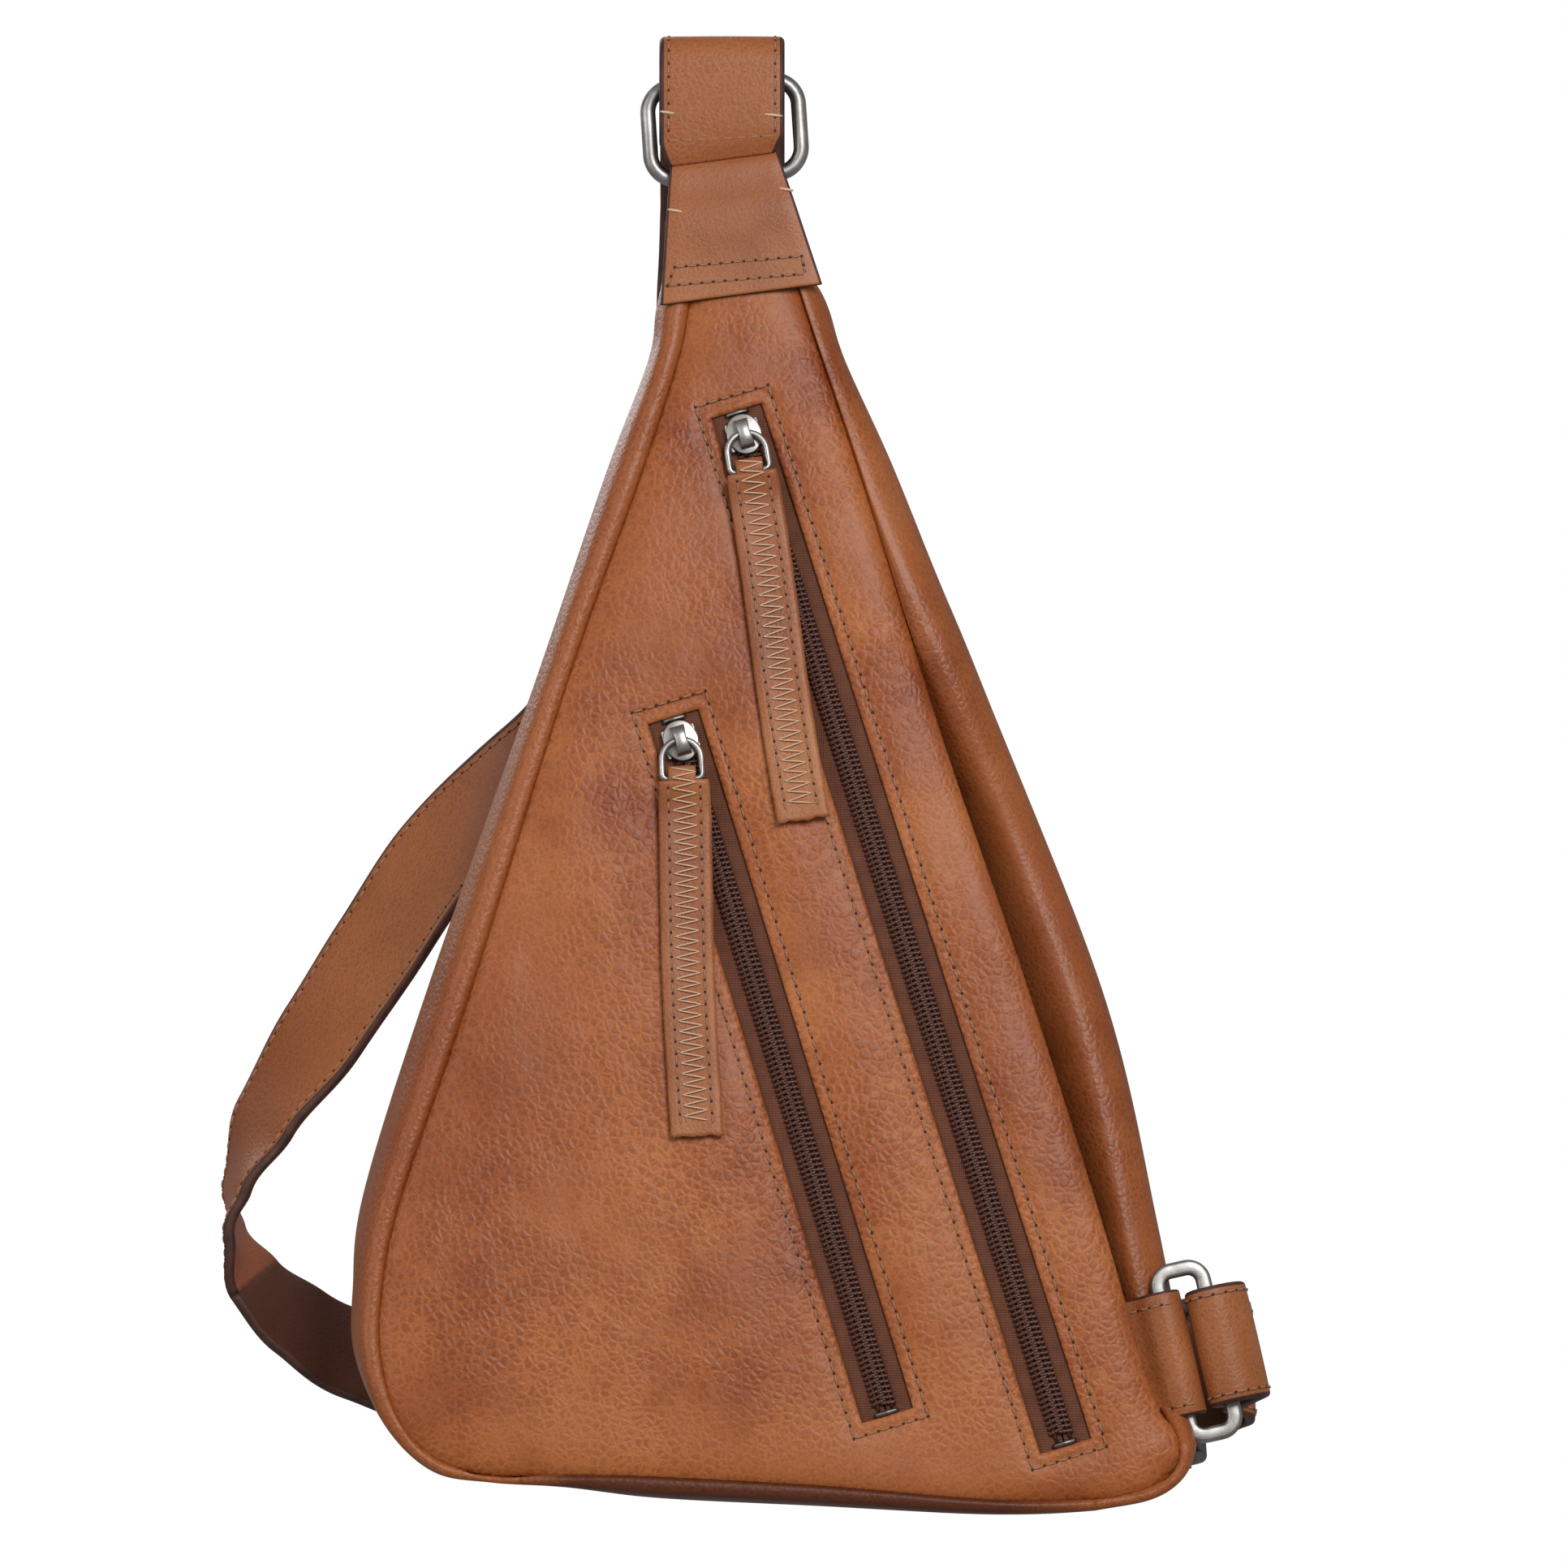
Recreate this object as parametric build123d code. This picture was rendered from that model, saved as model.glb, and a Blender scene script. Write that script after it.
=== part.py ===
from build123d import *
import math
import os

# Leather sling bag hanging from the loop at the top of its strap.
# Millimetres. +X is the wearer-facing viewer's right, -Y the front, +Z up.
# The origin is the inside of the fold at the top of the strap loop.

# ---- driving dimensions ----------------------------------------------------
LEATHER = 2.0              # body leather
LINING = 1.0               # lining behind the front pockets
STRAP_WIDTH = 36.0
STRAP_THICK = 4.0

NECK_Z = -80.0             # lower edge of the neck tab
TOP_Z = -62.0              # top of the body, under the tab
NECK_FRONT_Y = -10.0       # front face at NECK_Z
FRONT_SLOPE = 0.16         # how far the front comes forward for each mm down
BACK_Y = 14.0              # the flat back face
SECTION_DEPTH = 12.0       # thickness of the front pocket section
FLANGE_DEPTH = 19.0        # front face of the right gusset's turned edge
FLANGE_WIDTH = 24.0        # how far that edge turns in
SLOT_TOP_Z = -166.0        # upper end of the side opening

RING_WIRE = 4.7            # top ring
RING_WIDTH = 51.0
RING_HEIGHT = 33.5
RING_TILT = 3.8            # degrees, right side up
RING_BAR_Z = -10.5         # upper bar of the top ring

LOWER_RING_WIRE = 5.0
LOWER_RING_WIDTH = 18.5
LOWER_RING_LENGTH = 55.0
LOWER_RING_TILT = 12.4     # degrees, foot to the right
LOWER_RING_AT = (143.0, -396.0)

ZIP_WINDOW = 16.0
COIL_WIDTH = 7.3
COIL_SLIT = 1.8            # between the two halves, room for the slider's wedge
TAPE_WIDTH = 13.0
TAPE_THICK = 0.6
SLIDER_DOWN = 8.0          # slider centre below the top of the window
PULL_WIDTH = 16.0
PULL_LENGTH = 105.0
PULL_THICK = 2.4
PULL_RING_WIRE = 2.0
PULL_RING_WIDTH = 14.0
PULL_RING_REACH = 12.0     # bar to bar

# Zips: centre of the window's top and bottom ends in front view, and the
# direction of the hanging pull, in degrees from straight down.
ZIPS = {
    "zip_1": ((4.7, -111.8), (103.2, -423.0), 8.6),
    "zip_2": ((-14.3, -205.2), (50.1, -414.0), 2.3),
}

# Outlines in front view (x, z). Each side runs from the top down, and the
# bottom from left to right between the two corners.
FRONT_LEFT = [(-9, TOP_Z), (-24, -126), (-48, -195), (-77, -290), (-98, -353), (-104, -385),
              (-98, -411), (-84, -430)]
FRONT_BOTTOM = [(-84, -430), (-49, -432.5), (20, -435), (80, -440), (124, -439)]
FRONT_RIGHT = [(21, TOP_Z), (42, -133), (67, -211), (92, -285), (114, -355), (131, -418), (124, -439)]
BACK_LEFT = [(-14, TOP_Z), (-34, -134), (-62, -219), (-94, -297), (-107, -351), (-109, -390),
             (-102, -414), (-84, -431)]
BACK_BOTTOM = [(-84, -431), (-49, -436), (20, -441), (80, -443), (125, -438)]
BACK_RIGHT = [(26, TOP_Z), (58, -142), (89, -217), (116, -288), (132, -357), (141, -415), (125, -438)]

# Strap: centre line and the turn of its outer face, 0 facing forward, 90 facing
# out of the loop and 180 facing back.
STRAP_RUN = [
    (-1, 16, -47, 0), (-2, 21.5, -70, 0), (-5, 21, -110, 0), (-20, 21, -160, 0), (-41, 22, -205, 4),
    (-65, 27, -228, 20), (-86, 33, -248, 40), (-105, 35, -276, 42), (-122, 35, -302, 46),
    (-139, 35, -329, 60), (-147, 35, -350, 78), (-148, 35, -365, 92), (-143, 36, -380, 112),
    (-132, 36, -393, 124), (-112, 34, -404, 134), (-75, 26, -412, 155), (-20, 21, -416, 180),
    (40, 24, -417, 180), (90, 24, -413.5, 180), (146, 24, -409.6, 180),
]
# Round the bag's right side to the lower ring: centre line and outer face.
STRAP_END = [(158, 19, -407, (0.7, 0.7, 0)), (162, 9, -404, (1, 0.1, 0)), (159.5, 0.5, -401, (0.9, -0.35, 0))]

os.makedirs("parts", exist_ok=True)


def save(shape, name):
    export_step(shape, f"parts/{name}.step")


# ---- frames ----------------------------------------------------------------
tilt = math.atan(FRONT_SLOPE)
FRONT_NORMAL = Vector(0, -math.cos(tilt), math.sin(tilt))


def front_y(z, depth=0.0):
    """Y of the front face at height z, or of the layer this deep behind it."""
    return NECK_FRONT_Y + FRONT_SLOPE * (z - NECK_Z) + depth / math.cos(tilt)


def front_plane(depth):
    return Plane(origin=(0, front_y(0, depth), 0), x_dir=(1, 0, 0), z_dir=FRONT_NORMAL)


def back_plane(depth):
    return Plane(origin=(0, BACK_Y - depth, 0), x_dir=(1, 0, 0), z_dir=(0, -1, 0))


def outline(plane, sides, inset=0.0):
    """Closed face with the given left, bottom and right sides on a plane."""
    stretch = 1 / abs(plane.z_dir.Y)
    left, bottom, right = sides
    left_pts = [(x + inset, z) for x, z in left[:-1]]
    right_pts = [(x - inset, z) for x, z in right[:-1]]
    corner_l = (left[-1][0] + inset, left[-1][1] + inset)
    corner_r = (right[-1][0] - inset, right[-1][1] + inset)
    bottom_pts = [(x, z + inset) for x, z in bottom[1:-1]]

    def curve(points):
        return Spline(*[(x, z * stretch) for x, z in points])

    edges = [
        curve(left_pts + [corner_l]),
        curve([corner_l] + bottom_pts + [corner_r]),
        curve([corner_r] + right_pts[::-1]),
        Line((right_pts[0][0], TOP_Z * stretch), (left_pts[0][0], TOP_Z * stretch)),
    ]
    return plane * make_face(edges)


def front_view_prism(points):
    """A prism through the whole depth, with its outline given in front view."""
    plane = Plane(origin=(0, 60, 0), x_dir=(1, 0, 0), z_dir=(0, -1, 0))
    return extrude(plane * make_face(Polyline(*points, close=True)), amount=200)


FRONT = (FRONT_LEFT, FRONT_BOTTOM, FRONT_RIGHT)
BACK = (BACK_LEFT, BACK_BOTTOM, BACK_RIGHT)

# ---- zip frames --------------------------------------------------------------


class ZipFrame:
    """Local frame of one zip: x across, y up the zip, z out of the front."""

    def __init__(self, top, bottom, pull_angle):
        top3 = Vector(top[0], front_y(top[1]), top[1])
        bottom3 = Vector(bottom[0], front_y(bottom[1]), bottom[1])
        self.length = (bottom3 - top3).length
        self.down = (bottom3 - top3).normalized()
        across = self.down.cross(FRONT_NORMAL) * -1
        self.plane = Plane(origin=top3, x_dir=across, z_dir=FRONT_NORMAL)
        hang = Vector(math.sin(math.radians(pull_angle)), 0, -math.cos(math.radians(pull_angle)))
        hang = (hang - FRONT_NORMAL * hang.dot(FRONT_NORMAL)).normalized()
        slider_at = top3 + self.down * SLIDER_DOWN
        self.pull_plane = Plane(origin=slider_at, x_dir=hang.cross(FRONT_NORMAL) * -1, z_dir=FRONT_NORMAL)

    def block(self, x0, x1, y0, y1, z0, z1):
        box = Box(x1 - x0, y1 - y0, z1 - z0, align=Align.MIN)
        return self.plane * Location((x0, y0, z0)) * box


zips = {name: ZipFrame(*place) for name, place in ZIPS.items()}

# ---- body ----------------------------------------------------------------------
front_panel = extrude(outline(front_plane(0), FRONT), amount=-LEATHER)
for frame in zips.values():
    front_panel -= frame.block(-ZIP_WINDOW / 2, ZIP_WINDOW / 2, -frame.length, 0, -6, 6)
save(front_panel, "front_panel")

back_panel = extrude(outline(back_plane(0), BACK), amount=LEATHER)
save(back_panel, "back_panel")

walls = loft([outline(front_plane(LEATHER), FRONT), outline(back_plane(LEATHER), BACK)], ruled=True)
walls -= loft(
    [outline(front_plane(LEATHER), FRONT, LEATHER), outline(back_plane(LEATHER), BACK, LEATHER)],
    ruled=True,
)
LEFT_REGION = [(-200, -50), (0, -50), (0, -300), (-70, -405), (-70, -470), (-200, -470)]
BOTTOM_REGION = [(-70, -405), (100, -405), (100, -426), (123, -430), (123, -470), (-70, -470)]
RIGHT_UPPER_REGION = [(14, TOP_Z - 0.5), (200, TOP_Z - 0.5), (200, SLOT_TOP_Z), (14, SLOT_TOP_Z)]
left_gusset = walls & front_view_prism(LEFT_REGION)
left_gusset -= front_view_prism([(-11, -50), (14, -50), (14, -90), (-11, -70)])
bottom_gusset = walls & front_view_prism(BOTTOM_REGION)


# Right side: closed above the side opening, and below it a rear wall with a turned edge.


def side_strip(plane, side, start, width):
    """A strip on a plane, this far in from the right side of an outline and this wide."""
    stretch = 1 / abs(plane.z_dir.Y)
    foot_x, foot_z = side[-1]
    outer = [(x - start, z * stretch) for x, z in side[:-1]] + [(foot_x - start, (foot_z + start / 2) * stretch)]
    foot_x, foot_z = outer[-1]
    inner = [(x - width, z) for x, z in outer[:-1]] + [(foot_x - width, foot_z + width / 2)]
    edges = [Spline(*outer), Line(outer[-1], inner[-1]), Spline(*inner[::-1]), Line(inner[0], outer[0])]
    return plane * make_face(edges)


right_gusset_top = walls & front_view_prism(RIGHT_UPPER_REGION)
REAR_RIGHT = [BACK_RIGHT[1]] + BACK_RIGHT[2:]
rear_wall = loft(
    [
        side_strip(front_plane(FLANGE_DEPTH), REAR_RIGHT, 0, LEATHER),
        side_strip(back_plane(LEATHER), REAR_RIGHT, 0, LEATHER),
    ],
    ruled=True,
)
turned_edge = extrude(side_strip(front_plane(FLANGE_DEPTH), REAR_RIGHT, LEATHER, FLANGE_WIDTH), amount=-LEATHER)
LOWER_REGION = [(0, SLOT_TOP_Z), (200, SLOT_TOP_Z), (200, -470), (0, -470)]
right_gusset = rear_wall & front_view_prism(LOWER_REGION)
turned_edge &= front_view_prism(LOWER_REGION)
bottom_gusset -= right_gusset
bottom_gusset -= turned_edge
save(right_gusset, "right_gusset")
save(turned_edge, "right_gusset_edge")

# Front pocket section: turned right edge, lining behind the pockets, and the wall between them.
edge_solid = extrude(outline(front_plane(LEATHER), FRONT), amount=-(SECTION_DEPTH - LEATHER))
edge_inner = extrude(outline(front_plane(LEATHER), FRONT, LEATHER), amount=-(SECTION_DEPTH - LEATHER))
EDGE_REGION = [(30, SLOT_TOP_Z), (200, SLOT_TOP_Z), (200, -470), (112, -470), (112, -405), (50, -200)]
front_edge = (edge_solid - edge_inner) & front_view_prism(EDGE_REGION)
bottom_gusset -= front_edge
save(front_edge, "front_edge")
save(bottom_gusset, "bottom_gusset")

lining = extrude(outline(front_plane(SECTION_DEPTH - LINING), FRONT, LEATHER + 0.6), amount=-LINING)
lining &= front_view_prism([(-200, -100), (200, -100), (200, -470), (-200, -470)])
lining -= front_edge
save(lining, "front_lining")

partition_top = (-2, -205)
partition_foot = (64, -428)
partition = extrude(
    front_plane(LEATHER + 1.2)
    * make_face(
        Polyline(
            *[
                (x, z / math.cos(tilt))
                for x, z in (
                    partition_top,
                    (partition_top[0] + 1, partition_top[1]),
                    (partition_foot[0] + 1, partition_foot[1]),
                    partition_foot,
                )
            ],
            close=True,
        )
    ),
    amount=-(SECTION_DEPTH - LINING - LEATHER - 1.2),
)
save(partition, "pocket_partition")

# ---- top ring, neck tab and strap loop -----------------------------------------
tilted = Plane(origin=(0, 0, RING_BAR_Z), x_dir=Vector(1, 0, 0).rotate(Axis.Y, -RING_TILT), z_dir=(0, -1, 0))
RING_CORNER = 8.0
BAR_GAP = RING_HEIGHT - RING_WIRE      # upper bar centre to lower bar centre


def wire_frame(width, height, corner, wire, centre_y):
    """A rounded rectangle of round wire, lying in the local XY plane."""
    path = RectangleRounded(width - wire, height - wire, corner).wire()
    path = Pos(0, centre_y) * path
    section = Plane(origin=path @ 0, z_dir=path % 0) * Circle(wire / 2)
    return sweep(section, path=path)


save(tilted * wire_frame(RING_WIDTH, RING_HEIGHT, RING_CORNER, RING_WIRE, -BAR_GAP / 2), "top_ring")

TAB_HOLE = 5.2
TAB_THICK = 2.2
TAB_HALF = 27.0
side = Plane(origin=tilted.origin - tilted.x_dir * TAB_HALF, x_dir=(0, 1, 0), z_dir=tilted.x_dir)
low = -BAR_GAP
outer_r = TAB_HOLE + TAB_THICK
front_foot = front_y(NECK_Z) - TAB_THICK
drop = NECK_Z - RING_BAR_Z + 1
front_ply = make_face(
    Polyline((-outer_r, low), (-TAB_HOLE, low), (front_foot + TAB_THICK, drop), (front_foot, drop), close=True)
)
back_foot = BACK_Y - LEATHER - 0.1
back_ply = make_face(
    Polyline(
        (TAB_HOLE, low), (outer_r, low), (back_foot, TOP_Z - RING_BAR_Z), (back_foot, drop),
        (back_foot - TAB_THICK, drop), (back_foot - TAB_THICK, TOP_Z - RING_BAR_Z), close=True,
    )
)
fold = (Pos(0, low) * Circle(outer_r)) & (Pos(0, low + 20) * Rectangle(60, 40))
fold -= Pos(0, low) * Circle(TAB_HOLE)
profile = front_ply + back_ply + fold
neck_tab = extrude(side * profile, amount=2 * TAB_HALF)
neck_tab &= front_view_prism([(-16, -20), (17, -20), (24, -50), (31, -84), (-18.4, -84)])
neck_tab -= loft([outline(front_plane(-0.05), FRONT), outline(back_plane(0), BACK)], ruled=True) & Pos(
    0, -30, -80
) * Box(100, 60, 60)
save(neck_tab, "neck_tab")
save(left_gusset - neck_tab, "left_gusset")
save(right_gusset_top - neck_tab, "right_gusset_top")

LOOP_INSIDE = 3.4
LOOP_OUTSIDE = LOOP_INSIDE + STRAP_THICK
STITCH_Z = -15.5          # the plies are sewn together below this
END_Z = -31.0             # cut end of the strap's front ply
loop_side = Plane(origin=(-STRAP_WIDTH / 2, 0, 0), x_dir=(0, 1, 0), z_dir=(1, 0, 0))
loop_profile = Pos(0, -LOOP_INSIDE) * Circle(LOOP_OUTSIDE)
loop_profile += make_face(
    Polyline(
        (-LOOP_OUTSIDE, -LOOP_INSIDE), (LOOP_OUTSIDE, -LOOP_INSIDE), (LOOP_OUTSIDE, STITCH_Z), (17, -43),
        (13, -44.5), (9.2, -34), (2.2, END_Z + 4), (-1.8, END_Z + 4), (-LOOP_OUTSIDE, STITCH_Z), close=True,
    )
)
loop_hole = make_face(
    Polyline(
        (-LOOP_INSIDE, -LOOP_INSIDE), (LOOP_INSIDE, -LOOP_INSIDE), (LOOP_INSIDE, STITCH_Z), (-LOOP_INSIDE, STITCH_Z),
        close=True,
    )
)
loop_profile -= Pos(0, -LOOP_INSIDE) * Circle(LOOP_INSIDE)
loop_profile -= loop_hole
save(extrude(loop_side * loop_profile, amount=STRAP_WIDTH), "strap_loop")

# ---- strap -----------------------------------------------------------------------


def outer_face(along, turn):
    """The strap's outer normal, turned about its run, or given as a vector."""
    if isinstance(turn, tuple):
        return Vector(*turn)
    outward = Vector(along.Z, 0, -along.X).normalized()
    return Vector(0, -math.cos(math.radians(turn)), 0) + outward * math.sin(math.radians(turn))


def strap_sections(run):
    """Rectangles across the strap at each station, facing its outer normal."""
    points = [Vector(*station[:3]) for station in run]
    faces = []
    for i, station in enumerate(run):
        ahead = points[min(i + 1, len(points) - 1)]
        behind = points[max(i - 1, 0)]
        along = (ahead - behind).normalized()
        normal = outer_face(along, station[3])
        normal = (normal - along * normal.dot(along)).normalized()
        across = along.cross(normal)
        corners = [
            points[i] + across * (STRAP_WIDTH / 2 * a) + normal * (STRAP_THICK / 2 * b)
            for a, b in ((-1, -1), (1, -1), (1, 1), (-1, 1))
        ]
        faces.append(make_face(Polyline(*corners, close=True)))
    return faces


save(loft(strap_sections(STRAP_RUN + STRAP_END), ruled=True), "strap")

# ---- lower ring, its tab, and the strap's end loop --------------------------------
ring_x, ring_z = LOWER_RING_AT
lean = math.radians(LOWER_RING_TILT)
RING_DEPTH = SECTION_DEPTH + 1.0
ring_at = Vector(ring_x, front_y(ring_z, RING_DEPTH), ring_z)
bar_down = Vector(math.sin(lean), 0, -math.cos(lean))
bar_down = (bar_down - FRONT_NORMAL * bar_down.dot(FRONT_NORMAL)).normalized()
lower_plane = Plane(origin=ring_at, x_dir=bar_down.cross(FRONT_NORMAL) * -1, z_dir=FRONT_NORMAL)
BAR_OUT = (LOWER_RING_WIDTH - LOWER_RING_WIRE) / 2
save(
    lower_plane * wire_frame(LOWER_RING_WIDTH, LOWER_RING_LENGTH, 5.0, LOWER_RING_WIRE, 0),
    "lower_ring",
)

# Profiles across the bars: local x along the ring's width, local y to the back.
TAB_WIDTH = 36.5
TAB_PLIES = 3.8
LOWER_HOLE = 3.9
across_bars = Plane(origin=ring_at + bar_down * (TAB_WIDTH / 2), x_dir=lower_plane.x_dir, z_dir=bar_down * -1)
lower_profile = Pos(-BAR_OUT, 0) * Circle(LOWER_HOLE + 1.9)
lower_profile += Pos(-BAR_OUT - 13, 1.4) * Rectangle(26, TAB_PLIES)
lower_profile -= Pos(-BAR_OUT, 0) * Circle(LOWER_HOLE)
save(extrude(across_bars * lower_profile, amount=TAB_WIDTH), "lower_tab")

END_HOLE = 2.9
END_BACK = 43.0
end_profile = Pos(BAR_OUT, 0) * Circle(END_HOLE + STRAP_THICK)
end_profile += Pos(BAR_OUT + 3, END_BACK / 2) * Rectangle(2 * STRAP_THICK, END_BACK)
end_profile -= Pos(BAR_OUT, 0) * Circle(END_HOLE)
across_strap = Plane(origin=ring_at + bar_down * (STRAP_WIDTH / 2), x_dir=lower_plane.x_dir, z_dir=bar_down * -1)
save(extrude(across_strap * end_profile, amount=STRAP_WIDTH), "strap_end_loop")

# ---- tri-glide on the strap behind the bag ------------------------------------------
GLIDE_WIRE = 4.8
GLIDE_INSIDE = STRAP_WIDTH + 1.6
GLIDE_LENGTH = 22.0
glide_at = Vector(138, 24, -410.2)
glide_along = (Vector(146, 24, -409.6) - Vector(90, 24, -413.5)).normalized()
glide = Plane(origin=glide_at, x_dir=glide_along, z_dir=(0, 1, 0))
bar_offset = STRAP_THICK / 2 + GLIDE_WIRE / 2 + 0.4
half = GLIDE_INSIDE / 2 + GLIDE_WIRE / 2
tri_glide = None
for across in (-half, half):
    rail = Pos(0, across, 0) * Box(GLIDE_LENGTH, GLIDE_WIRE, 2 * bar_offset)
    tri_glide = rail if tri_glide is None else tri_glide + rail
for along, side_of in ((-GLIDE_LENGTH / 2 + 2.4, 1), (0, -1), (GLIDE_LENGTH / 2 - 2.4, 1)):
    bar = Pos(along, 0, side_of * bar_offset) * Rot(90, 0, 0) * Cylinder(GLIDE_WIRE / 2, 2 * half + GLIDE_WIRE)
    tri_glide += bar
save(glide * tri_glide, "tri_glide")

# ---- zips ----------------------------------------------------------------------------
COIL_TOP = 0.2            # above the leather's outer face
COIL_LOW = -LEATHER
STOP_HEIGHT = 0.5


def half_coil(frame, sign):
    inner = COIL_SLIT / 2 * sign
    outer = COIL_WIDTH / 2 * sign
    return frame.block(min(inner, outer), max(inner, outer), -frame.length + 2, -2, COIL_LOW, COIL_TOP)


def half_tape(frame, sign):
    inner = COIL_SLIT / 2 * sign
    outer = TAPE_WIDTH * sign
    low = COIL_LOW - TAPE_THICK
    return frame.block(min(inner, outer), max(inner, outer), -frame.length - 6, 6, low, COIL_LOW)


def slider_body(frame):
    """Two plates joined by a wedge between the coils, with a bridge on top."""
    reach = 6.5
    y0, y1 = -SLIDER_DOWN - reach, -SLIDER_DOWN + reach
    tape_low = COIL_LOW - TAPE_THICK
    body = frame.block(-5.5, 5.5, y0, y1, COIL_TOP + 0.4, COIL_TOP + 1.6)
    body += frame.block(-5.5, 5.5, y0, y1, tape_low - 1.6, tape_low - 0.5)
    body += frame.block(-0.6, 0.6, y1 - 4, y1, tape_low - 1, COIL_TOP + 1)
    for sign in (-1, 1):
        x0, x1 = sorted((4.1 * sign, 5.5 * sign))
        body += frame.block(x0, x1, y0, y1, COIL_LOW + 0.4, COIL_TOP + 1)
    bridge = frame.block(-2.2, 2.2, y0 + 2, y1 - 2, COIL_TOP + 1.4, COIL_TOP + 6.2)
    bridge -= frame.block(-3, 3, -SLIDER_DOWN - 2.2, -SLIDER_DOWN + 2.2, COIL_TOP + 1.4, COIL_TOP + 5.1)
    return body + bridge


PULL_BAR_Z = COIL_TOP + 3.35       # the bar through the bridge, above the leather


def pull_parts(frame):
    """The wire ring through the bridge, and the leather pull on its lower bar."""
    lifted = frame.pull_plane * Location((0, 0, PULL_BAR_Z))
    ring = wire_frame(PULL_RING_WIDTH, PULL_RING_REACH + PULL_RING_WIRE, 1.6, PULL_RING_WIRE, -PULL_RING_REACH / 2)
    hole = 1.5
    knuckle = hole + 0.9
    strip_top = -PULL_RING_REACH - knuckle - 2
    low = -1.1
    profile = Pos(-PULL_RING_REACH, 0) * Circle(knuckle)
    profile += Pos(-PULL_RING_REACH - 3.5, low + PULL_THICK / 2 - 0.2) * Rectangle(7, PULL_THICK)
    profile -= Pos(-PULL_RING_REACH, 0) * Circle(hole)
    across = Plane(origin=(-4, 0, 0), x_dir=(0, 1, 0), z_dir=(1, 0, 0))
    tongue = extrude(across * profile, amount=8)
    strip = Pos(0, strip_top - PULL_LENGTH / 2, low + PULL_THICK / 2 - 0.2) * Box(
        PULL_WIDTH, PULL_LENGTH, PULL_THICK
    )
    return lifted * ring, lifted * (tongue + strip)


for name, frame in zips.items():
    number = name[-1]
    for side_name, sign in (("left", -1), ("right", 1)):
        save(half_tape(frame, sign), f"{name}_tape_{side_name}")
        save(half_coil(frame, sign), f"{name}_coil_{side_name}")
    save(frame.block(-3.6, 3.6, -1.2, -0.1, COIL_LOW, COIL_TOP), f"{name}_top_stop")
    foot = -frame.length
    save(frame.block(-3.6, 3.6, foot + 0.2, foot + 1.9, COIL_LOW, COIL_TOP + STOP_HEIGHT), f"{name}_bottom_stop")
    save(slider_body(frame), f"slider_{number}")
    ring, pull = pull_parts(frame)
    save(ring, f"pull_ring_{number}")
    save(pull, f"leather_pull_{number}")

# ---- joint axes ------------------------------------------------------------------------


def shown(vector):
    return [round(value, 5) for value in vector]


print("top ring bar", shown(tilted.origin), shown(tilted.x_dir))
print("lower ring bar", shown(ring_at + lower_plane.x_dir * BAR_OUT), shown(bar_down))
print("glide", shown(glide_along))
for name, frame in zips.items():
    pull_top = (frame.pull_plane * Location((0, 0, PULL_BAR_Z))).position
    pull_low = (frame.pull_plane * Location((0, -PULL_RING_REACH, PULL_BAR_Z))).position
    print(name, "down", shown(frame.down), "length", round(frame.length, 2))
    print("  hinge", shown(frame.pull_plane.x_dir), "ring", shown(pull_top), "pull", shown(pull_low))
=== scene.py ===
"""Leather sling bag hanging from its strap loop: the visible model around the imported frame."""
import math
import random

import bmesh
import bpy
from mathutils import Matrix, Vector, noise
from mathutils.geometry import delaunay_2d_cdt


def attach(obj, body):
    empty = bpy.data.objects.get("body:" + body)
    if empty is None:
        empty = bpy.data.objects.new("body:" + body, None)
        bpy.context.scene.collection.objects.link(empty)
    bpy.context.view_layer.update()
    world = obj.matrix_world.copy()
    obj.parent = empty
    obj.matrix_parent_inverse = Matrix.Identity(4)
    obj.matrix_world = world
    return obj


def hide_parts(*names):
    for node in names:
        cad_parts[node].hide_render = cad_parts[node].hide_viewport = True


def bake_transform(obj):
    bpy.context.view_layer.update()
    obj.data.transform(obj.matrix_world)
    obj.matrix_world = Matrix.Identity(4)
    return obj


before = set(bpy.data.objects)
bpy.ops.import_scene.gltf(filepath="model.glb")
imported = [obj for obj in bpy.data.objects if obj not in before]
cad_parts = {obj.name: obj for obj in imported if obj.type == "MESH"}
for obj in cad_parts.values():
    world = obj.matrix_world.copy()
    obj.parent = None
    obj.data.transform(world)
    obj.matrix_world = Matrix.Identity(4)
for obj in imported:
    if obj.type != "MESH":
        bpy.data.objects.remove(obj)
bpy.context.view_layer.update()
MM = 0.001
rng = random.Random(7)

# ---- driving dimensions, in millimetres -------------------------------------------------------
LEATHER = 2.0
NECK_Z = -80.0
TOP_Z = -62.0
NECK_FRONT_Y = -10.0
FRONT_SLOPE = 0.16
BACK_Y = 14.0
SECTION_DEPTH = 12.0
FLANGE_DEPTH = 19.0
SLOT_TOP_Z = -166.0
SIDE_FOOT_Z = -431.0
STRAP_HALF = 18.0
LOOP_HALF = 19.2
STRAP_STITCH_IN = 2.9
STRAP_THICK = 3.6
WINDOW_HALF = 8.0
STITCH_OUT = 3.6
STITCH_PITCH = 4.1
SLIDER_DROP = 8.0
PULL_LENGTH = 104.0
PULL_BAR_DROP = 12.0
PULL_BAR_Z = 3.55
RING_WIDE, RING_LONG, RING_WIRE = 18.5, 55.0, 4.6
RING_LEAN = math.radians(12.4)
GLIDE_HALF, GLIDE_WIRE, GLIDE_PITCH, GLIDE_DEPTH = 23.4, 2.4, 8.6, 4.6
TAB_SLOPE = math.tan(math.radians(7.5))
TAB_OUT = Vector((0, -1, 0.1))

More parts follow.
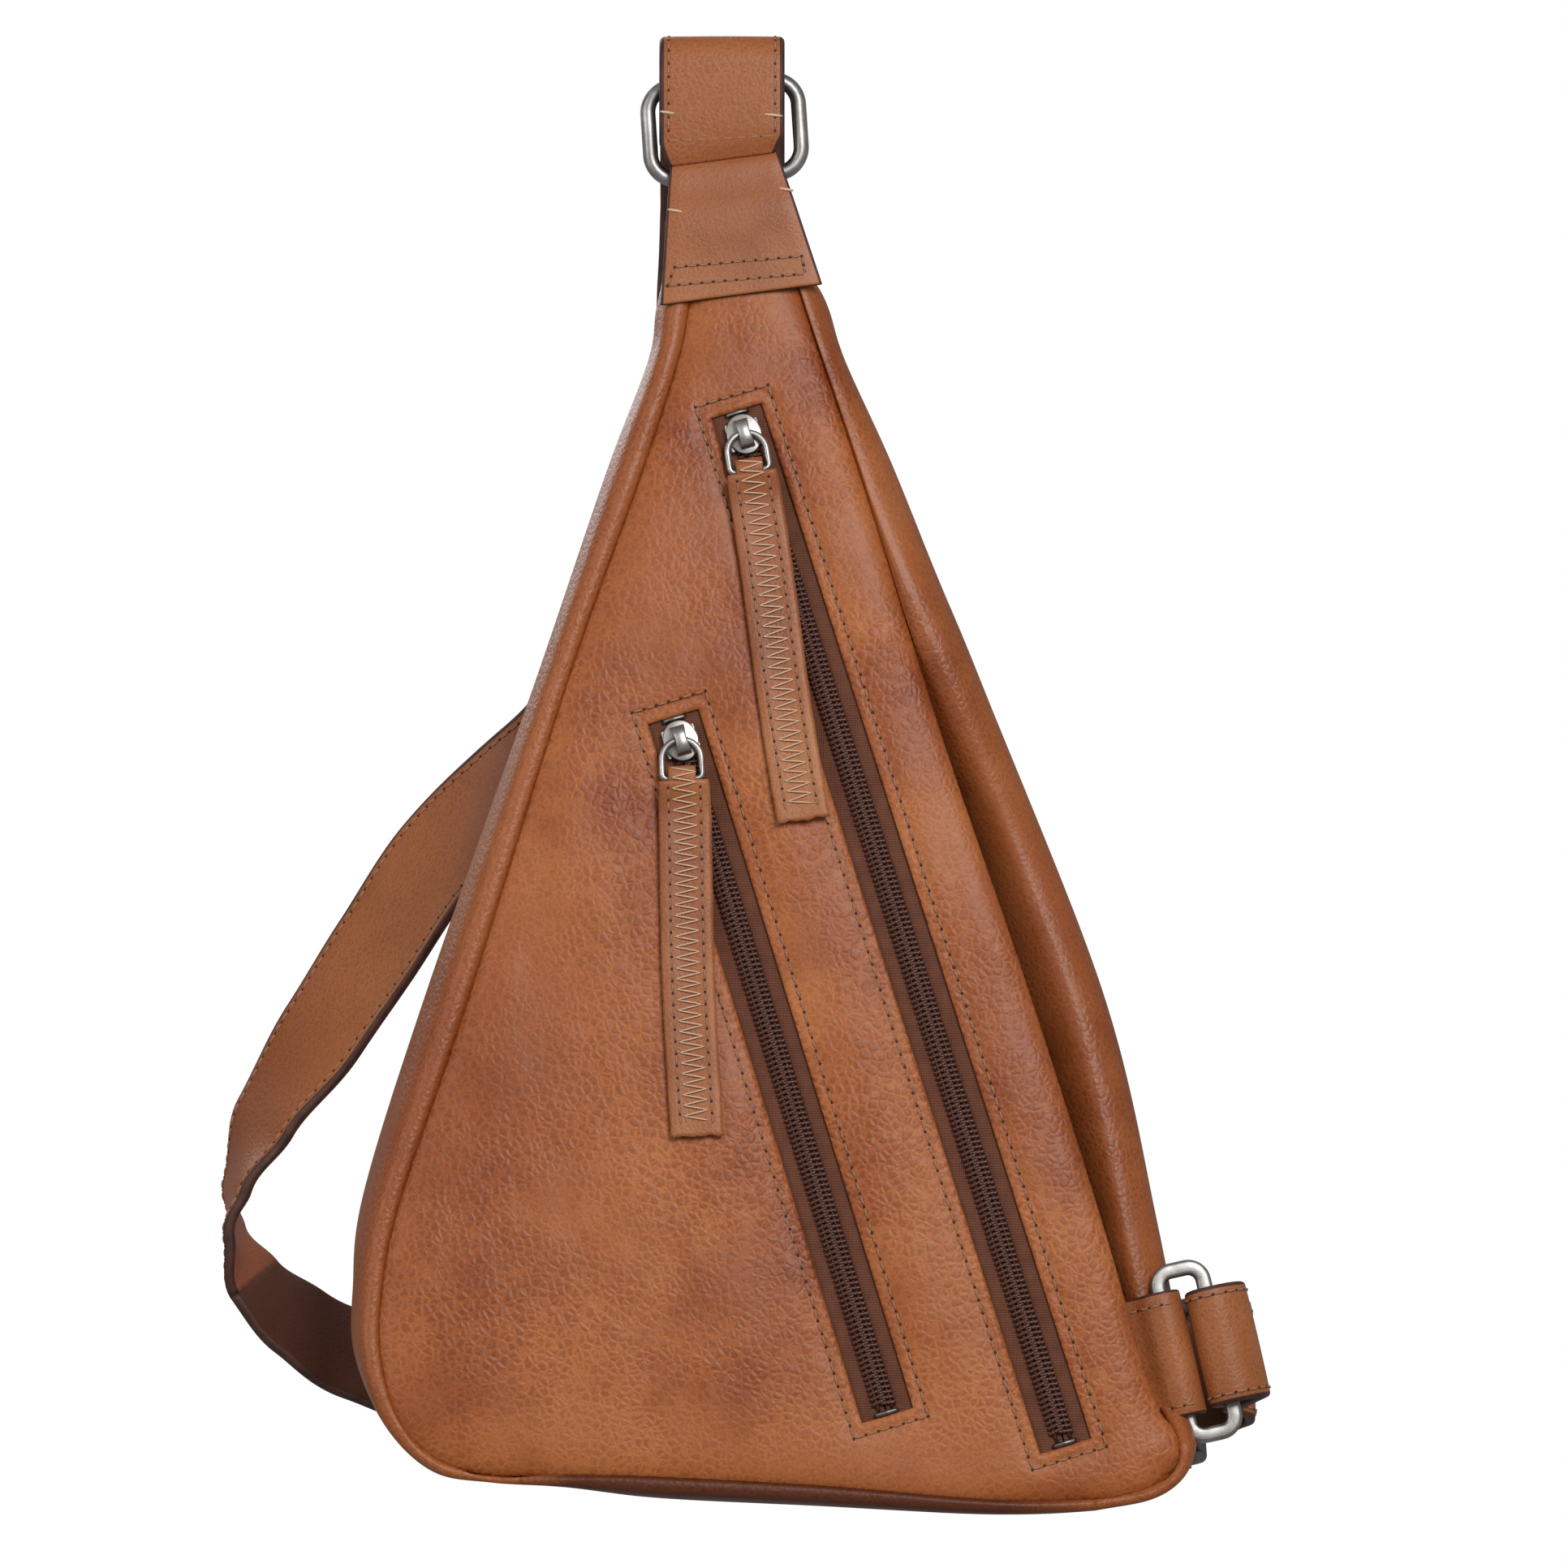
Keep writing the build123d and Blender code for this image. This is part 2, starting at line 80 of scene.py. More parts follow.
# Each zip's top and bottom on the front, as (x, z), and how far its pull hangs off the vertical, in degrees.
ZIPS = {
    1: ((4.7, -111.8), (103.2, -423.0), 8.6),
    2: ((-14.3, -205.2), (50.1, -414.0), 2.3),
}
# Left side, bottom and lower right corner: the front panel's seam and the silhouette outside it,
# as (seam x, seam z, side x, side z). The right edge runs from the neck to the same corner.
SEAM_AND_SIDE = [
    (-8.5, -62, -14, -62), (-11.3, -80, -18, -80), (-14.5, -96, -20.5, -96), (-25.5, -131, -33.5, -131),
    (-48, -195, -55, -195), (-77, -290, -88, -290), (-97, -350, -106.5, -350), (-102.5, -378, -109.5, -378),
    (-102.5, -398, -109, -397), (-96.5, -417, -100.5, -415.5), (-84, -428.5, -86, -430),
    (-68, -431.8, -68, -432.8), (-48, -432.6, -47, -434.6), (-20, -433.5, -20, -438.8),
    (28, -436, 28, -441.2), (80, -440, 80, -443.2), (112, -439.6, 112, -441.6), (127, -437, 129, -438),
    (135.5, -432, 137.5, -432.6),
]
CORNER_AND_SIDE = SEAM_AND_SIDE[-3:] + [
    (138.3, -425, 141.6, -425), (135.5, -417.5, 141.8, -417), (129, -406, 140, -405), (124, -394, 138, -393),
]
FRONT_RIGHT = [(20.5, TOP_Z), (25.5, -80), (42, -130), (67, -211), (92, -285), (114, -355), (129, -407),
               (135, -417.5), (138.3, -425), (135.5, -432)]
RIGHT_SIDE = [(21.5, TOP_Z), (29, -72), (33, -80), (38, -96), (52, -127), (66, -162), (80, -196), (116, -288),
              (132, -357), (141, -410), (141.5, -440)]
BACK_LEFT = [(-13, TOP_Z), (-17, -80), (-33, -131), (-62, -217), (-93, -297), (-105, -351), (-108, -390),
             (-100, -414), (-84, -430)]
BACK_RIGHT = [(21, TOP_Z), (31, -80), (50, -127), (78, -196), (114, -288), (130, -357), (139, -415),
              (125, -437)]

# The strap's middle line and its outer face: degrees turned from the front, or a direction.
STRAP_RUN = [
    (-1, 16, -47, 0), (-2, 21.5, -70, 0), (-5, 21, -110, 0), (-20, 21, -160, 0), (-41, 22, -205, 4),
    (-65, 27, -228, 18), (-88, 33, -248, 34), (-107, 35, -276, 36), (-124, 35, -302, 40),
    (-142, 35, -329, 56), (-151, 35, -350, 76), (-152, 35, -365, 92), (-146, 36, -380, 112),
    (-132, 36, -393, 124), (-112, 34, -404, 134), (-75, 26, -412, 155), (-20, 21, -416, 180),
    (40, 24, -417, 180), (90, 24, -413.5, 180), (146, 24, -409.6, 180),
    (158, 19, -407, (0.7, 0.7, 0)), (162, 9, -404, (1, 0.1, 0)), (159, -1, -401, (0.9, -0.35, 0)),
]

TILT = math.atan(FRONT_SLOPE)
FRONT_NORMAL = Vector((0, -math.cos(TILT), math.sin(TILT)))


def front_y(z, depth=0.0):
    """The y of the front plane at this height, or of a plane this deep behind it."""
    return NECK_FRONT_Y + FRONT_SLOPE * (z - NECK_Z) + depth / math.cos(TILT)


def on_front(x, z, height=0.0):
    """A point over the front plane at (x, z) in front view, this far out of it."""
    return Vector((x, front_y(z, -height), z))


# ---- curves -----------------------------------------------------------------------------------


def running_length(points):
    """The distance walked along the points, at each of them."""
    reach = [0.0]
    for a, b in zip(points, points[1:]):
        reach.append(reach[-1] + (b - a).length)
    return reach


def smooth_points(points, count):
    """Evenly spaced points on a smooth curve through the given ones."""
    pts = [Vector(p) for p in points]
    ext = [pts[0] * 2 - pts[1]] + pts + [pts[-1] * 2 - pts[-2]]
    dense = []
    steps = 24
    for i in range(1, len(ext) - 2):
        p0, p1, p2, p3 = ext[i - 1], ext[i], ext[i + 1], ext[i + 2]
        for k in range(steps):
            t = k / steps
            dense.append(
                0.5 * (2 * p1 + (p2 - p0) * t + (2 * p0 - 5 * p1 + 4 * p2 - p3) * t * t
                       + (3 * p1 - p0 - 3 * p2 + p3) * t ** 3)
            )
    dense.append(pts[-1])
    reach = running_length(dense)
    result = []
    j = 0
    for k in range(count):
        target = reach[-1] * k / (count - 1)
        while j < len(reach) - 2 and reach[j + 1] < target:
            j += 1
        span = max(reach[j + 1] - reach[j], 1e-9)
        result.append(dense[j].lerp(dense[j + 1], (target - reach[j]) / span))
    return result


def smooth_outline(points, count):
    return smooth_points([(x, 0, z) for x, z in points], count)


def curve_length(points):
    return sum((b - a).length for a, b in zip(points, points[1:]))


# ---- mesh making ------------------------------------------------------------------------------


def make_object(name, verts, faces, materials, face_slots=None, flat_from=None):
    """A mesh object from points in millimetres, flat-shaded from the given face on."""
    mesh = bpy.data.meshes.new(name)
    mesh.from_pydata([tuple(c * MM for c in v) for v in verts], [], faces)
    for material in materials:
        mesh.materials.append(material)
    if face_slots:
        mesh.polygons.foreach_set("material_index", face_slots)
    flat_from = len(faces) if flat_from is None else flat_from
    mesh.polygons.foreach_set("use_smooth", [k < flat_from for k in range(len(faces))])
    mesh.validate()
    bm = bmesh.new()
    bm.from_mesh(mesh)
    bmesh.ops.remove_doubles(bm, verts=bm.verts, dist=1e-7)
    bmesh.ops.recalc_face_normals(bm, faces=bm.faces)
    bm.to_mesh(mesh)
    bm.free()
    obj = bpy.data.objects.new(name, mesh)
    bpy.context.scene.collection.objects.link(obj)
    return obj


def grid_faces(rows, columns, offset=0, wrap=False):
    faces = []
    last = columns if wrap else columns - 1
    for r in range(rows - 1):
        for c in range(last):
            c2 = (c + 1) % columns
            a = offset + r * columns
            faces.append((a + c, a + c2, a + columns + c2, a + columns + c))
    return faces


def close_rod(faces, rings, sides, start=0):
    """Add a rod's faces: its sides, ring by ring, and a cap at each end."""
    faces += grid_faces(rings, sides, start, wrap=True)
    faces.append(tuple(start + k for k in range(sides))[::-1])
    faces.append(tuple(start + (rings - 1) * sides + k for k in range(sides)))


def thick_sheet(name, grid, thickness, materials):
    """A closed sheet from rows of points: outer side as given, inner side pushed in."""
    rows, columns = len(grid), len(grid[0])
    outer, inner = [], []
    for r in range(rows):
        for c in range(columns):
            along = grid[min(r + 1, rows - 1)][c] - grid[max(r - 1, 0)][c]
            across = grid[r][min(c + 1, columns - 1)] - grid[r][max(c - 1, 0)]
            normal = along.cross(across)
            normal = normal.normalized() if normal.length > 1e-9 else Vector((0, 0, 1))
            outer.append(grid[r][c])
            inner.append(grid[r][c] - normal * thickness)
    count = rows * columns
    faces = grid_faces(rows, columns)
    faces += [tuple(i + count for i in reversed(f)) for f in grid_faces(rows, columns)]
    for r in range(rows - 1):
        for c, flip in ((0, False), (columns - 1, True)):
            a, b = r * columns + c, (r + 1) * columns + c
            quad = (a, b, b + count, a + count)
            faces.append(quad[::-1] if flip else quad)
    for c in range(columns - 1):
        for r, flip in ((0, True), (rows - 1, False)):
            a, b = r * columns + c, r * columns + c + 1
            quad = (a, b, b + count, a + count)
            faces.append(quad[::-1] if flip else quad)
    return make_object(name, outer + inner, faces, materials)


def frames_along(run, count):
    """Point, direction, outer normal and distance walked, along a run of (x, y, z, turn) stations."""
    points = smooth_points([s[:3] for s in run], count)
    stations = [Vector(s[:3]) for s in run]
    normals = []
    for i, station in enumerate(run):
        ahead = stations[min(i + 1, len(run) - 1)]
        behind = stations[max(i - 1, 0)]
        along = (ahead - behind).normalized()
        if isinstance(station[3], tuple):
            normal = Vector(station[3])
        else:
            turn = math.radians(station[3])
            outward = Vector((along.z, 0, -along.x)).normalized()
            normal = Vector((0, -math.cos(turn), 0)) + outward * math.sin(turn)
        normals.append((normal - along * normal.dot(along)).normalized())
    reach = running_length(stations)
    result = []
    total = curve_length(points)
    for i, (point, walked) in enumerate(zip(points, running_length(points))):
        target = walked / total * reach[-1]
        j = max(k for k in range(len(reach) - 1) if reach[k] <= target + 1e-9)
        t = (target - reach[j]) / max(reach[j + 1] - reach[j], 1e-9)
        t = t * t * (3 - 2 * t)
        normal = normals[j].lerp(normals[j + 1], t)
        along = (points[min(i + 1, count - 1)] - points[max(i - 1, 0)]).normalized()
        normal = (normal - along * normal.dot(along)).normalized()
        result.append((point, along, normal, walked))
    return result


def ribbon(name, stations, half_width, thickness, materials, crown=0.25):
    """A leather strip: outer face, painted edges and inner face, with closed ends."""
    profile = []
    edge_r = thickness * 0.42
    steps = 10
    for k in range(steps + 1):
        u = -1 + 2 * k / steps
        profile.append((u, thickness / 2 + crown * (1 - u * u), 0, -edge_r))
    for a in (60, 30, 0, -30, -60):
        angle = math.radians(a)
        profile.append((1, math.sin(angle) * thickness / 2, 1, math.cos(angle) * edge_r - edge_r))
    for k in range(steps + 1):
        u = 1 - 2 * k / steps
        profile.append((u, -thickness / 2, 2, -edge_r))
    for a in (-60, -30, 0, 30, 60):
        angle = math.radians(a)
        profile.append((-1, math.sin(angle) * thickness / 2, 1, math.cos(angle) * edge_r - edge_r))
    columns = len(profile)
    verts = []
    for i, (point, along, normal, walked) in enumerate(stations):
        across = along.cross(normal)
        left, right = half_width(i / (len(stations) - 1))
        wave = 0.25 * noise.noise(Vector((walked * 0.03, 3.1, 0)))
        for u, height, _, inset in profile:
            width = right if u > 0 else left
            side = math.copysign(1, u) if abs(u) > 1e-9 else 0
            verts.append(point + across * (u * width + side * inset * abs(u)) + normal * (height + wave))
    faces = []
    slots = []
    for r in range(len(stations) - 1):
        for c in range(columns):
            c2 = (c + 1) % columns
            a = r * columns
            faces.append((a + c, a + c2, a + columns + c2, a + columns + c))
            kinds = (profile[c][2], profile[c2][2])
            slots.append(1 if 1 in kinds else kinds[0])
    flat_from = len(faces)
    for r, flip in ((0, True), (len(stations) - 1, False)):
        loop = [r * columns + c for c in range(columns)]
        half = steps + 1
        top, low = loop[:half], loop[half + 5:half + 5 + half][::-1]
        for a, b, c, d in zip(top, top[1:], low[1:], low):
            faces.append((a, b, c, d) if flip else (d, c, b, a))
            slots.append(1)
        right_side = [top[-1]] + loop[half:half + 5] + [low[-1]]
        left_side = [low[0]] + loop[2 * half + 5:] + [top[0]]
        for side in (right_side, left_side):
            faces.append(tuple(side) if flip else tuple(side[::-1]))
            slots.append(1)
    return make_object(name, verts, faces, materials, slots, flat_from)


class Stitches:
    """Thread stitches and dark marks that paint the shade in the holes between them, gathered into two
    meshes.
    """

    def __init__(self):
        self.thread = ([], [])
        self.holes = ([], [])

    @staticmethod
    def pill(store, centre, along, normal, length, width, height):
        verts, faces = store
        across = along.cross(normal).normalized()
        start = len(verts)
        rings = ((-1, 0.25), (-0.8, 0.75), (-0.3, 1), (0.3, 1), (0.8, 0.75), (1, 0.25))
        sides = 6
        for u, size in rings:
            sag = -0.35 * height * u * u
            for k in range(sides):
                angle = 2 * math.pi * k / sides
                verts.append(
                    centre + along * (u * length / 2) + across * (math.cos(angle) * width / 2 * size)
                    + normal * (math.sin(angle) * height / 2 * size + sag)
                )
        close_rod(faces, len(rings), sides, start)

    def run(self, points, normal_at, pitch=STITCH_PITCH, width=0.75, height=0.7, proud=0.1):
        """A row of stitches with painted shade for the holes between them."""
        total = curve_length(points)
        count = max(1, round(total / pitch))
        dense = smooth_points(points, count * 2 + 1)
        for k in range(count):
            a, mid, b = dense[2 * k], dense[2 * k + 1], dense[2 * k + 2]
            normal = normal_at(mid).normalized()
            along = (b - a).normalized()
            along = (along + along.cross(normal) * rng.uniform(-0.05, 0.05)).normalized()
            self.pill(self.thread, mid + normal * proud, along, normal, (b - a).length * 0.74, width, height)
            # A dark mark at each hole: painted shade in the hole.
            self.pill(self.holes, a + normal * 0.02, along, normal, 0.95, 0.8, 0.35)

    def single(self, a, b, normal, width=0.8, height=0.8):
        along = (b - a).normalized()
        self.pill(self.thread, (a + b) / 2 + normal * 0.15, along, normal, (b - a).length, width, height)

    def build(self, name, material=None):
        pieces = [make_object(f"{name}_thread", *self.thread, [material or thread_mat])]
        if self.holes[0]:
            pieces.append(make_object(f"{name}_holes", *self.holes, [hole_shade_mat]))
        return pieces


# ---- materials --------------------------------------------------------------------------------


class Nodes:
    """A small helper for building one material's node tree."""

    def __init__(self, name):
        self.material = bpy.data.materials.new(name)
        self.material.use_nodes = True
        self.tree = self.material.node_tree
        self.shader = self.tree.nodes["Principled BSDF"]
        self.coords = self.tree.nodes.new("ShaderNodeTexCoord").outputs["Object"]

    def put(self, socket, value):
        """Link another node's output to a socket, or set a number or a colour on it."""
        if isinstance(value, bpy.types.NodeSocket):
            self.tree.links.new(value, socket)
        else:
            socket.default_value = (*value, 1.0) if isinstance(value, tuple) else value

    def node(self, kind, **inputs):
        node = self.tree.nodes.new(kind)
        for key, value in inputs.items():
            self.put(node.inputs[key.replace("_", " ")], value)
        return node

    def set(self, **values):
        for key, value in values.items():
            self.put(self.shader.inputs[key.replace("_", " ")], value)

    def noise(self, scale, detail=3.0, rough=0.55, vector=None):
        place = vector or self.coords
        node = self.node("ShaderNodeTexNoise", Vector=place, Scale=scale, Detail=detail, Roughness=rough)
        return node.outputs["Fac"]

    def ramp(self, factor, stops):
        node = self.tree.nodes.new("ShaderNodeValToRGB")
        elements = node.color_ramp.elements
        while len(elements) < len(stops):
            elements.new(0.5)
        for element, (position, color) in zip(elements, stops):
            element.position = position
            element.color = (*color, 1.0)
        self.put(node.inputs["Fac"], factor)
        return node.outputs["Color"]

    def mix(self, factor, a, b, blend="MIX"):
        node = self.tree.nodes.new("ShaderNodeMix")
        node.data_type = "RGBA"
        node.blend_type = blend
        for value, socket in ((factor, 0), (a, 6), (b, 7)):
            self.put(node.inputs[socket], value)
        return node.outputs[2]

    def math(self, operation, a, b=0.0):
        node = self.tree.nodes.new("ShaderNodeMath")
        node.operation = operation
        self.put(node.inputs[0], a)
        self.put(node.inputs[1], b)
        return node.outputs[0]

    def bump(self, height, strength, distance):
        node = self.node("ShaderNodeBump", Strength=strength, Distance=distance, Height=height)
        self.put(self.shader.inputs["Normal"], node.outputs["Normal"])


def leather(name, dark, base, light, grain=400.0, pebble=1.0, rough=0.42, shade=None):
    """Pebbled leather: darker pebbles between pale creases, clouded colour and a soft sheen."""
    n = Nodes(name)
    clouds = n.noise(20.0, 4.0)
    color = n.ramp(clouds, [(0.3, dark), (0.5, base), (0.7, light)])
    burnish = n.ramp(n.noise(10.0, 5.0, 0.6), [(0.5, (1, 1, 1)), (0.7, (0.76, 0.62, 0.64))])
    color = n.mix(1.0, color, burnish, "MULTIPLY")
    warp = n.node("ShaderNodeTexNoise", Vector=n.coords, Scale=grain * 0.35, Detail=3.0)
    bent = n.node("ShaderNodeMix")
    bent.data_type = "VECTOR"
    for socket, value in ((0, 0.0012), (4, n.coords), (5, warp.outputs["Color"])):
        n.put(bent.inputs[socket], value)
    cells = n.node("ShaderNodeTexVoronoi", Vector=bent.outputs[1], Scale=grain)
    cells.feature = "DISTANCE_TO_EDGE"
    mound = n.ramp(cells.outputs["Distance"], [(0.02, (0, 0, 0)), (0.3, (1, 1, 1))])
    patch = n.ramp(n.noise(26.0, 3.0), [(0.34, (0.25,) * 3), (0.6, (1, 1, 1))])
    strength = n.math("MULTIPLY", patch, 0.5 * pebble)
    pebbles = n.mix(strength, (1, 1, 1), n.mix(mound, (1.3, 1.36, 1.4), (0.7, 0.58, 0.5)))
    color = n.mix(1.0, color, pebbles, "MULTIPLY")
    fine = n.noise(grain * 3.2, 3.0)
    speck = n.ramp(fine, [(0.3, (0.8,) * 3), (0.65, (1.1,) * 3)])
    color = n.mix(1.0, color, speck, "MULTIPLY")
    if shade:
        # Painted shade that comes and goes along X, as (x in metres, tint) stops.
        split = n.node("ShaderNodeSeparateXYZ", Vector=n.coords)
        place = n.math("ADD", n.math("MULTIPLY", split.outputs["X"], 1 / SHADE_SPAN), 0.5)
        stops = [(x / SHADE_SPAN + 0.5, tint) for x, tint in shade]
        color = n.mix(1.0, color, n.ramp(place, stops), "MULTIPLY")
    n.set(Base_Color=color, Roughness=n.math("ADD", n.math("MULTIPLY", clouds, 0.22), rough - 0.08))
    n.set(Coat_Weight=0.04, Coat_Roughness=0.35, Specular_IOR_Level=0.36)
    creases = n.noise(55.0, 4.0)
    raised = n.math("MULTIPLY", n.math("MULTIPLY", mound, patch), 0.65 * pebble)
    height = n.math("ADD", raised, n.math("MULTIPLY", fine, 0.2))
    height = n.math("ADD", height, n.math("MULTIPLY", creases, 1.2))
    n.bump(height, 0.45, 0.0006)
    return n.material


def edge_paint():
    """Dark burnished paint on the leather's cut edges."""
    n = Nodes("edge_paint")
    color = n.ramp(n.noise(160.0, 3.0), [(0.35, (0.045, 0.014, 0.009)), (0.7, (0.11, 0.036, 0.02))])
    n.set(Base_Color=color, Roughness=0.55)
    n.bump(n.noise(900.0, 2.0), 0.3, 0.0003)
    return n.material


def metal(name, low, high, rough):
    """Aged metal: clouded tone, fine scratches and a slightly uneven gloss."""
    n = Nodes(name)
    color = n.ramp(n.noise(130.0, 5.0, 0.65), [(0.35, low), (0.65, high)])
    stretch = n.node("ShaderNodeMapping", Vector=n.coords)
    stretch.inputs["Scale"].default_value = (1.0, 1.0, 14.0)
    scratch = n.noise(420.0, 3.0, 0.6, stretch.outputs["Vector"])
    n.set(Base_Color=color, Metallic=1.0)
    n.set(Roughness=n.math("ADD", n.math("MULTIPLY", scratch, 0.25), rough - 0.1))
    n.bump(scratch, 0.12, 0.0002)
    return n.material


def woven(name, low, high, scale):
    """Woven textile: crossed ribs with a mottled dye."""
    n = Nodes(name)
    ribs = n.node("ShaderNodeTexWave", Vector=n.coords, Scale=scale, Distortion=1.2, Detail=1.0)
    ribs.bands_direction = "Z"
    cross = n.node("ShaderNodeTexWave", Vector=n.coords, Scale=scale * 1.3, Distortion=1.2, Detail=1.0)
    cross.bands_direction = "X"
    weave = n.math("MULTIPLY", ribs.outputs["Fac"], cross.outputs["Fac"])
    mottle = n.noise(240.0, 3.0)
    tone = n.math("ADD", n.math("MULTIPLY", weave, 0.65), n.math("MULTIPLY", mottle, 0.4))
    n.set(Base_Color=n.ramp(tone, [(0.1, low), (0.75, high)]), Roughness=0.82, Sheen_Weight=0.15)
    n.bump(weave, 0.6, 0.0003)
    return n.material


def plain_thread(name, low, high, scale=900.0, rough=0.6):
    """Twisted thread or nylon, banded across its length."""
    n = Nodes(name)
    twist = n.node("ShaderNodeTexWave", Vector=n.coords, Scale=scale, Distortion=2.0)
    twist.bands_direction = "DIAGONAL"
    n.set(Base_Color=n.ramp(twist.outputs["Fac"], [(0.1, low), (0.9, high)]), Roughness=rough)
    n.bump(twist.outputs["Fac"], 0.4, 0.0001)
    return n.material


SHADE_SPAN = 0.4
TAN_TONES = ((0.26, 0.054, 0.011), (0.39, 0.107, 0.025), (0.51, 0.168, 0.047))
GUSSET_TONES = ((0.26, 0.062, 0.016), (0.38, 0.108, 0.03), (0.47, 0.155, 0.048))
# Painted shade for the downward-facing bottom; PLAIN leaves the colour as it is.
UNDERSIDE_SHADE = (0.3, 0.24, 0.24)
PLAIN = (1, 1, 1)
body_mat = leather("body_leather", *TAN_TONES)
gusset_mat = leather("gusset_leather", *GUSSET_TONES, 430.0, 0.7, 0.38)
# The bottom leather carries painted shade across its middle, where it faces down.
bottom_shade_mat = leather(
    "bottom_leather_painted_shade", *GUSSET_TONES, 430.0, 0.7, 0.42,
    shade=[(-0.062, PLAIN), (-0.044, UNDERSIDE_SHADE), (0.085, UNDERSIDE_SHADE), (0.112, PLAIN)],
)
strap_mat = leather(
    "strap_leather", (0.29, 0.085, 0.025), (0.38, 0.12, 0.036), (0.47, 0.17, 0.06), 520.0, 0.5, 0.44
)
tab_mat = leather(
    "tab_leather", (0.28, 0.08, 0.027), (0.4, 0.135, 0.046), (0.5, 0.2, 0.078), 600.0, 0.35, 0.42
)
# Dark leather for inner faces: the hidden inner side of the front panel and the neck tab, and painted shade
# on the strap's inner face, which is really tan like its outer face.
inner_face_and_shade_mat = leather(
    "inner_face_and_shade", (0.08, 0.024, 0.01), (0.125, 0.042, 0.018), (0.18, 0.064, 0.028), 700.0, 0.5, 0.6
)
edge_mat = edge_paint()
lining_mat = woven("lining_cloth", (0.015, 0.008, 0.006), (0.05, 0.025, 0.018), 400.0)
tape_mat = woven("zip_tape", (0.07, 0.017, 0.007), (0.27, 0.088, 0.036), 420.0)
coil_mat = plain_thread("coil_nylon", (0.05, 0.014, 0.008), (0.115, 0.036, 0.02), 500.0, 0.38)
thread_mat = plain_thread("tan_thread", (0.27, 0.115, 0.05), (0.5, 0.25, 0.13))
# Near-black marks at the stitch holes: painted shade inside the holes.
hole_shade_mat = plain_thread("stitch_hole_shade", (0.03, 0.01, 0.006), (0.07, 0.022, 0.012))
pale_thread_mat = plain_thread("pale_thread", (0.6, 0.36, 0.22), (0.88, 0.64, 0.44))
nickel_mat = metal("aged_nickel", (0.3, 0.285, 0.27), (0.54, 0.52, 0.5), 0.4)
# Darker metal: on the tri-glide, painted shade over the same nickel finish as the rings; the zip stops use it
# too.
dark_and_shaded_metal_mat = metal("gunmetal", (0.13, 0.125, 0.12), (0.3, 0.29, 0.28), 0.36)

LEATHER_SET = [body_mat, edge_mat, inner_face_and_shade_mat]
STRAP_SET = [strap_mat, edge_mat, inner_face_and_shade_mat]

# ---- zip frames -------------------------------------------------------------------------------


class ZipFrame:
    """Local frame of one zip: x across, y up the zip, z out of the front."""

    def __init__(self, top, bottom, hang_angle):
        self.top = on_front(*top)
        foot = on_front(*bottom)
        self.length = (foot - self.top).length
        self.down = (foot - self.top).normalized()
        self.across = -self.down.cross(FRONT_NORMAL)
        angle = math.radians(hang_angle)
        hang = Vector((math.sin(angle), 0, -math.cos(angle)))
        self.hang = (hang - FRONT_NORMAL * hang.dot(FRONT_NORMAL)).normalized()
        self.hang_across = -self.hang.cross(FRONT_NORMAL)
        self.slider = self.top + self.down * SLIDER_DROP

    def at(self, x, y, z):
        return self.top + self.across * x - self.down * y + FRONT_NORMAL * z

    def pull_at(self, x, y, z):
        return self.slider + self.hang_across * x - self.hang * y + FRONT_NORMAL * z

    def local(self, x, z):
        """Across and up-the-zip coordinates of a front-view point."""
        offset = on_front(x, z) - self.top
        return offset.dot(self.across), -offset.dot(self.down)


zips = {number: ZipFrame(*place) for number, place in ZIPS.items()}


def window_distance(x, z):
    """Distance from the nearest zip window's edge, negative inside."""
    best = 1e9
    for z_frame in zips.values():
        u, v = z_frame.local(x, z)
        dx = abs(u) - WINDOW_HALF
        dy = abs(v + z_frame.length / 2) - z_frame.length / 2
        outside = math.hypot(max(dx, 0), max(dy, 0))
        best = min(best, outside if outside > 0 else max(dx, dy))
    return best


seam_points = smooth_points(SEAM_AND_SIDE, 330)
corner_points = smooth_points(CORNER_AND_SIDE, 60)
seam_curve = [Vector((p[0], 0, p[1])) for p in seam_points]
right_curve = smooth_outline(FRONT_RIGHT, 170)
outline_loop = seam_curve + right_curve[-2::-1]


def distance_to(curve, x, z):
    point = Vector((x, 0, z))
    return min((point - p).length for p in curve)


def front_height(x, z, seam, edge):
    """How far the front panel stands out of its plane, this far from the seam and the slot's edge."""
    window = max(window_distance(x, z), 0)
    rim = min(seam, edge)
    roll = -3.2 * math.exp(-seam / 2.6) - 2.6 * math.exp(-edge / 3.0)
    crown = 2.6 * (1 - math.exp(-rim / 30)) * (1 - math.exp(-window / 22))
    groove = -0.55 * math.exp(-((window - STITCH_OUT) / 1.1) ** 2)
    lip = -0.5 * math.exp(-window / 0.9)
    wrinkle = noise.noise(Vector((x * 0.035, z * 0.02, 1.0))) * 0.9
    fine = noise.noise(Vector((x * 0.12, z * 0.07, 5.0))) * 0.28
    calm = 1 - math.exp(-window / 12)
    return roll + crown + groove + lip + (wrinkle + fine) * calm * min(rim / 12, 1)


def rides(pieces, body):
    """Fix the pieces to one body."""
    for piece in pieces:
        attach(piece, body)


# ---- front panel ------------------------------------------------------------------------------


